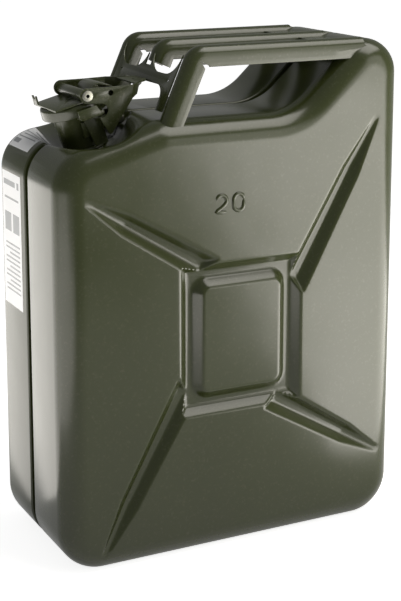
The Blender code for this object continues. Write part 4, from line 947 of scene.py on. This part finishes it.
def cap_profile():
    """The cap's section: a pressed dish with a rounded shoulder, bored for its rivet."""
    inner = CAP_EDGE - CAP_WALL
    centre_x = CAP_RADIUS - CAP_EDGE
    centre_z = CAP_TOP - CAP_EDGE
    profile = [(CAP_BORE, CAP_TOP)]
    profile += arc(centre_x, centre_z, CAP_EDGE, math.pi / 2, 0, steps=10)
    lip = CAP_WALL / 2
    profile += arc(CAP_RADIUS - lip, CAP_LOW + lip, lip, 0, -math.pi, steps=6)
    profile += arc(centre_x, centre_z, inner, 0, math.pi / 2, steps=8)
    profile.append((CAP_BORE, CAP_TOP - CAP_WALL))
    return profile


# Materials

def feed(tree, node, settings):
    """Link or set those inputs of a node, or else its attributes."""
    for name, value in settings.items():
        title = name.replace("_", " ").title() if name not in node.inputs else name
        if title not in node.inputs:
            setattr(node, name, value)
        elif isinstance(value, bpy.types.NodeSocket):
            tree.links.new(value, node.inputs[title])
        else:
            node.inputs[title].default_value = value


def add(tree, kind, output, **settings):
    """Add a node of that kind with those settings, and return that output."""
    node = tree.nodes.new(kind)
    feed(tree, node, settings)
    return node.outputs[output]


def started(name):
    """A new material, its tree, its shader and the place on the object in metres."""
    material = bpy.data.materials.new(name)
    material.use_nodes = True
    tree = material.node_tree
    return material, tree, tree.nodes["Principled BSDF"], add(tree, "ShaderNodeTexCoord", "Object")


def shade(colour, share):
    """A colour made darker or lighter by a share, with its alpha."""
    return (*(min(channel * share, 1) for channel in colour), 1)


def sprayed_enamel(name, colour, gloss, dust):
    """Sprayed olive enamel on steel sheet: wet gloss, faint orange peel, a slow drift of tone and a little dust."""
    material, tree, shader, place = started(name)
    drift = add(tree, "ShaderNodeTexNoise", "Fac", Vector=place, Scale=1 / (90 * MM), Detail=2.0)
    tone = add(tree, "ShaderNodeMixRGB", "Color", Fac=drift, Color1=shade(colour, 0.93), Color2=shade(colour, 1.07))
    specks = add(tree, "ShaderNodeTexNoise", "Fac", Vector=place, Scale=1 / (2.4 * MM), Detail=4.0)
    film = add(tree, "ShaderNodeMapRange", "Result", Value=specks, From_Min=0.56, From_Max=0.78, To_Max=dust)
    coated = add(tree, "ShaderNodeMixRGB", "Color", Fac=film, Color1=tone, Color2=shade(linear("9A9684"), 1))
    dull = add(tree, "ShaderNodeMapRange", "Result", Value=drift, From_Min=0.3, From_Max=0.7,
               To_Min=gloss * 0.88, To_Max=gloss * 1.15)
    # Orange peel stands about 1.5 mm apart on the real coat, drawn at 3 mm so that it shows
    peel = add(tree, "ShaderNodeTexNoise", "Fac", Vector=place, Scale=1 / (3 * MM), Detail=1.0, Roughness=0.4)
    rough = add(tree, "ShaderNodeBump", "Normal", Strength=0.12, Distance=0.1 * MM, Height=peel)
    wave = add(tree, "ShaderNodeTexNoise", "Fac", Vector=place, Scale=1 / (55 * MM), Detail=1.0)
    sheet = add(tree, "ShaderNodeBump", "Normal", Strength=0.5, Distance=0.8 * MM, Height=wave, Normal=rough)
    feed(tree, shader, {"Base Color": coated, "Roughness": dull, "Normal": sheet, "IOR": 1.5})
    return material


def zinc_plating(name, roughness):
    """Zinc plated steel: grey, finely clouded, its gloss uneven from handling."""
    material, tree, shader, place = started(name)
    grain = add(tree, "ShaderNodeTexNoise", "Fac", Vector=place, Scale=1 / (1.2 * MM), Detail=3.0)
    tone = add(tree, "ShaderNodeMixRGB", "Color", Fac=grain, Color1=shade(linear("86867C"), 1),
               Color2=shade(linear("B4B4A8"), 1))
    dull = add(tree, "ShaderNodeMapRange", "Result", Value=grain, From_Min=0.3, From_Max=0.7,
               To_Min=roughness * 0.8, To_Max=roughness * 1.2)
    feed(tree, shader, {"Base Color": tone, "Roughness": dull, "Metallic": 1.0})
    return material


def nitrile_rubber(name):
    """Moulded nitrile rubber of the gasket: black, matt, finely grained."""
    material, tree, shader, place = started(name)
    grain = add(tree, "ShaderNodeTexNoise", "Fac", Vector=place, Scale=1 / (0.8 * MM), Detail=2.0)
    tone = add(tree, "ShaderNodeMixRGB", "Color", Fac=grain, Color1=shade(linear("141414"), 1),
               Color2=shade(linear("222222"), 1))
    rough = add(tree, "ShaderNodeBump", "Normal", Strength=0.3, Distance=0.1 * MM, Height=grain)
    feed(tree, shader, {"Base Color": tone, "Normal": rough, "Roughness": 0.75})
    return material


def coated_paper(name, colour):
    """Coated label paper: smooth and a little glossy, its print slightly uneven."""
    material, tree, shader, place = started(name)
    cloud = add(tree, "ShaderNodeTexNoise", "Fac", Vector=place, Scale=1 / (12 * MM), Detail=2.0)
    tone = add(tree, "ShaderNodeMixRGB", "Color", Fac=cloud, Color1=shade(colour, 0.94), Color2=shade(colour, 1))
    fibre = add(tree, "ShaderNodeTexNoise", "Fac", Vector=place, Scale=1 / (1.5 * MM), Detail=2.0)
    rough = add(tree, "ShaderNodeBump", "Normal", Strength=0.08, Distance=0.05 * MM, Height=fibre)
    feed(tree, shader, {"Base Color": tone, "Normal": rough, "Roughness": 0.35})
    return material


def finish(name):
    """The material of that name, made once."""
    made = bpy.data.materials.get(name)
    if made is not None:
        return made
    colours = bpy.context.scene.fuel_can_finish
    makers = {
        "glossy_olive_enamel": lambda: sprayed_enamel(name, colours.enamel, gloss=0.22, dust=0.06),
        "fittings_enamel": lambda: sprayed_enamel(name, colours.fittings, gloss=0.27, dust=0.22),
        "zinc_plated_steel": lambda: zinc_plating(name, roughness=0.35),
        "nitrile_rubber": lambda: nitrile_rubber(name),
        "label_paper": lambda: coated_paper(name, colours.paper),
        "label_ink": lambda: coated_paper(name, colours.ink),
    }
    return makers[name]()


# The stage

def studio_floor_paper():
    """White studio paper: seen by the camera and by glossy paint it glows a little, and it keeps the can's shadow."""
    material, tree, shader, place = started("studio_floor_paper")
    grain = add(tree, "ShaderNodeTexNoise", "Fac", Vector=place, Scale=1 / (4 * MM), Detail=2.0)
    tone = add(tree, "ShaderNodeMixRGB", "Color", Fac=grain, Color1=FLOOR_TONES[0], Color2=FLOOR_TONES[1])
    glow = ray_strength(tree, plain=0.0, mirrored=MIRRORED_GLOW, clear=FLOOR_GLOW)
    feed(tree, shader, {"Base Color": tone, "Roughness": 0.9, "Emission Color": WHITE, "Emission Strength": glow})
    return material


def ray_strength(tree, plain, mirrored, clear):
    """A strength that is clear where the camera or glass shows it, mirrored where gloss does and plain elsewhere."""
    path = tree.nodes.new("ShaderNodeLightPath").outputs
    seen = add(tree, "ShaderNodeMath", "Value", operation="MAXIMUM")
    tree.links.new(path["Is Camera Ray"], seen.node.inputs[0])
    tree.links.new(path["Is Transmission Ray"], seen.node.inputs[1])
    shown = add(tree, "ShaderNodeMapRange", "Result", Value=seen, To_Max=clear)
    gloss = add(tree, "ShaderNodeMapRange", "Result", Value=path["Is Glossy Ray"], To_Min=plain, To_Max=mirrored)
    strength = add(tree, "ShaderNodeMath", "Value", operation="MAXIMUM")
    tree.links.new(shown, strength.node.inputs[0])
    tree.links.new(gloss, strength.node.inputs[1])
    return strength


def set_world(sky, mirrored_sky):
    """Even light from all round, white where the camera or glass shows it and dimmer where gloss does."""
    world = bpy.data.worlds.new("studio_world")
    bpy.context.scene.world = world
    world.use_nodes = True
    tree = world.node_tree
    strength = ray_strength(tree, plain=sky, mirrored=mirrored_sky, clear=1.0)
    feed(tree, tree.nodes["Background"], {"Color": WHITE, "Strength": strength})


def area_lamp(name, power, size, place, target):
    """A soft oblong lamp at that place, turned towards the target."""
    lamp = bpy.data.lights.new(name, "AREA")
    lamp.energy = power
    lamp.color = LAMP_COLOUR
    lamp.shape = "RECTANGLE"
    lamp.size, lamp.size_y = size
    piece = new_object(name, lamp)
    piece.location = place
    piece.rotation_euler = (Vector(target) - Vector(place)).to_track_quat("-Z", "Y").to_euler()


def set_camera():
    """The camera at the photograph's place, found from the can's silhouettes."""
    lens = bpy.data.cameras.new("photo_camera")
    lens.sensor_width = SENSOR
    lens.lens = FOCAL_PIXELS / IMAGE_HEIGHT * SENSOR
    lens.shift_y = CAMERA_SHIFT
    camera = new_object("photo_camera", lens)
    camera.location = CAMERA_PLACE
    camera.rotation_euler = (math.pi / 2 - CAMERA_PITCH, 0, -CAMERA_HEADING)
    bpy.context.scene.camera = camera


# Operators, one for each group of pieces

class FUELCAN_OT_add_shells(bpy.types.Operator):
    """Add the two pressed half shells and the weld between them"""
    bl_idname = "fuelcan.add_shells"
    bl_label = "Half Shells and Weld"
    bl_options = {"REGISTER", "UNDO"}

    def execute(self, context):
        body = context.scene.fuel_can_body
        rear = pressed_half(body)
        halves = (("front_pressed_shell", mirrored(rear), "front_half_shell"),
                  ("rear_pressed_shell", rear, "rear_half_shell"))
        for name, shape, node in halves:
            piece = new_piece(name, shape, "can", "olive_enamel", [node])
            give_sheet(piece, body.sheet)
        new_piece("rippled_weld", weld_bead(body), "can", "olive_enamel", ["seam_weld"],
                  smooth_angle=70)
        return {"FINISHED"}


class FUELCAN_OT_add_neck(bpy.types.Operator):
    """Add the filler neck with its brazed ring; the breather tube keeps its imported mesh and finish"""
    bl_idname = "fuelcan.add_neck"
    bl_label = "Filler Neck"
    bl_options = {"REGISTER", "UNDO"}

    def execute(self, context):
        place = neck_frame()
        new_piece("filler_neck", turned(NECK_PROFILE, place), "can", "olive_enamel", ["neck_tube"],
                  smooth_angle=60)
        new_piece("neck_ring", turned(RING_PROFILE, place), "can", "olive_enamel", ["neck_collar"],
                  smooth_angle=80)
        return {"FINISHED"}


class FUELCAN_OT_add_handles(bpy.types.Operator):
    """Add the three channel bars, their end plate and the two tie plates"""
    bl_idname = "fuelcan.add_handles"
    bl_label = "Handles"
    bl_options = {"REGISTER", "UNDO"}

    def execute(self, context):
        skin = can_skin()
        bars = (("front_channel_bar", -HANDLE_PITCH, "front_handle_bar"),
                ("middle_channel_bar", 0.0, "middle_handle_bar"),
                ("rear_channel_bar", HANDLE_PITCH, "rear_handle_bar"))
        for name, centre_y, node in bars:
            low_z = SADDLE_HEIGHT if centre_y else MIDDLE_LEG_END_Z
            shape = handle_bar(centre_y, low_z, skin)
            if centre_y:
                shape = cut_away(shape, slit(centre_y))
            new_piece(name, shape, "can", "olive_enamel", [node])
        for name, node in END_PLATES:
            new_piece(name, softened_copy(node, PLATE_EDGE), "can", "olive_enamel", [node])
        return {"FINISHED"}


class FUELCAN_OT_add_closure(bpy.types.Operator):
    """Add the cap with its arm, gasket and rivet, and the bracket, lugs and hinge pin on the neck"""
    bl_idname = "fuelcan.add_closure"
    bl_label = "Closure"
    bl_options = {"REGISTER", "UNDO"}

    def execute(self, context):
        place = neck_frame()
        new_piece("pressed_cap", turned(cap_profile(), place), "closure", "olive_enamel", ["cap"],
                  smooth_angle=60)
        new_piece("sealing_ring", turned(GASKET_PROFILE, place), "closure", "black_rubber", ["cap_gasket"],
                  smooth_angle=50)
        new_piece("cap_fastener", turned(RIVET_PROFILE, place), "closure", "plated_steel", ["cap_rivet"])
        new_piece("hinge_rod", turned(rod_profile(*HINGE_ROD), cross_rod_frame(*HINGE_PLACE)), "can",
                  "plated_steel", ["hinge_pin"])
        for name, node, body in CLOSURE_PRESSINGS:
            new_piece(name, softened_copy(node, PRESSING_EDGE), body, "olive_fittings", [node])
        return {"FINISHED"}


class FUELCAN_OT_add_lever(bpy.types.Operator):
    """Add the closure's lever and its hollow pin"""
    bl_idname = "fuelcan.add_lever"
    bl_label = "Lever"
    bl_options = {"REGISTER", "UNDO"}

    def execute(self, context):
        new_piece("over_centre_lever", softened_copy("closure_lever", PRESSING_EDGE), "lever", "olive_fittings",
                  ["closure_lever"])
        new_piece("lever_tube_pin", turned(rod_profile(*LEVER_ROD), cross_rod_frame(*LEVER_PLACE)), "lever",
                  "plated_steel", ["lever_pin"])
        return {"FINISHED"}


class FUELCAN_OT_add_labels(bpy.types.Operator):
    """Add the two white stickers with their plain printed bars"""
    bl_idname = "fuelcan.add_labels"
    bl_label = "Stickers"
    bl_options = {"REGISTER", "UNDO"}

    def execute(self, context):
        skin = can_skin()
        for name, low, high, heading, bars in STICKERS:
            paper = laid_grid(low, high, heading, skin, PAPER, PAPER_CELLS)
            new_piece(name, paper, "can", "olive_enamel", look="label_paper")
            prints = [laid_grid(*corners_between(low, high, bar), heading, skin, PRINT, PRINT_CELLS) for bar in bars]
            new_piece(name + "_print", merged(prints), "can", "olive_enamel", look="label_ink")
        return {"FINISHED"}


class FUELCAN_OT_add_numerals(bpy.types.Operator):
    """Add the raised 2 and 0 that give the capacity on the front face"""
    bl_idname = "fuelcan.add_numerals"
    bl_label = "Raised Numbers"
    bl_options = {"REGISTER", "UNDO"}

    def execute(self, context):
        shapes = [stroke(path) for path in numeral_paths()]
        new_piece("capacity_numerals", merged(shapes), "can", "olive_enamel")
        return {"FINISHED"}


class FUELCAN_OT_set_stage(bpy.types.Operator):
    """Set up the studio floor, the lamps, the world and the camera"""
    bl_idname = "fuelcan.set_stage"
    bl_label = "Studio and Camera"
    bl_options = {"REGISTER", "UNDO"}

    def execute(self, context):
        stage = context.scene.fuel_can_stage
        shape = bmesh.new()
        bmesh.ops.create_grid(shape, x_segments=2, y_segments=2, size=FLOOR_SIZE)
        bmesh.ops.translate(shape, vec=(0, FLOOR_SIZE + FLOOR_FRONT, -FLOOR_DROP), verts=shape.verts)
        mesh = mesh_of("studio_floor", shape)
        mesh.materials.append(studio_floor_paper())
        floor = new_object("studio_floor", mesh)
        for name, place, target, size, power in LAMPS:
            area_lamp(name, getattr(stage, power), size, place, target)
        set_world(stage.sky, stage.mirrored_sky)
        set_camera()
        context.scene.view_settings.view_transform = "Standard"
        return {"FINISHED"}


class FUELCAN_PT_panel(bpy.types.Panel):
    """Lists the can's pieces and the values a user may change"""
    bl_idname = "FUELCAN_PT_panel"
    bl_label = "Pressed Fuel Can"
    bl_space_type = "VIEW_3D"
    bl_region_type = "UI"
    bl_category = "Fuel Can"

    def draw(self, context):
        scene = context.scene
        for group in (scene.fuel_can_body, scene.fuel_can_finish, scene.fuel_can_stage):
            column = self.layout.column(align=True)
            for name in group.__annotations__:
                column.prop(group, name)
        for step in STEPS:
            self.layout.operator(step.bl_idname)


STEPS = (FUELCAN_OT_add_shells, FUELCAN_OT_add_neck, FUELCAN_OT_add_handles, FUELCAN_OT_add_closure,
         FUELCAN_OT_add_lever, FUELCAN_OT_add_labels, FUELCAN_OT_add_numerals, FUELCAN_OT_set_stage)
GROUPS = {"fuel_can_body": FuelCanBody, "fuel_can_finish": FuelCanFinish, "fuel_can_stage": FuelCanStage}


def register():
    for kind in (*GROUPS.values(), *STEPS, FUELCAN_PT_panel):
        bpy.utils.register_class(kind)
    for name, group in GROUPS.items():
        setattr(bpy.types.Scene, name, bpy.props.PointerProperty(type=group))


def unregister():
    for name in GROUPS:
        delattr(bpy.types.Scene, name)
    for kind in reversed((*GROUPS.values(), *STEPS, FUELCAN_PT_panel)):
        bpy.utils.unregister_class(kind)


def main():
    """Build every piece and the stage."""
    register()
    for step in STEPS:
        operator = step.bl_idname.split(".")[1]
        getattr(bpy.ops.fuelcan, operator)()


if __name__ == "__main__":
    main()
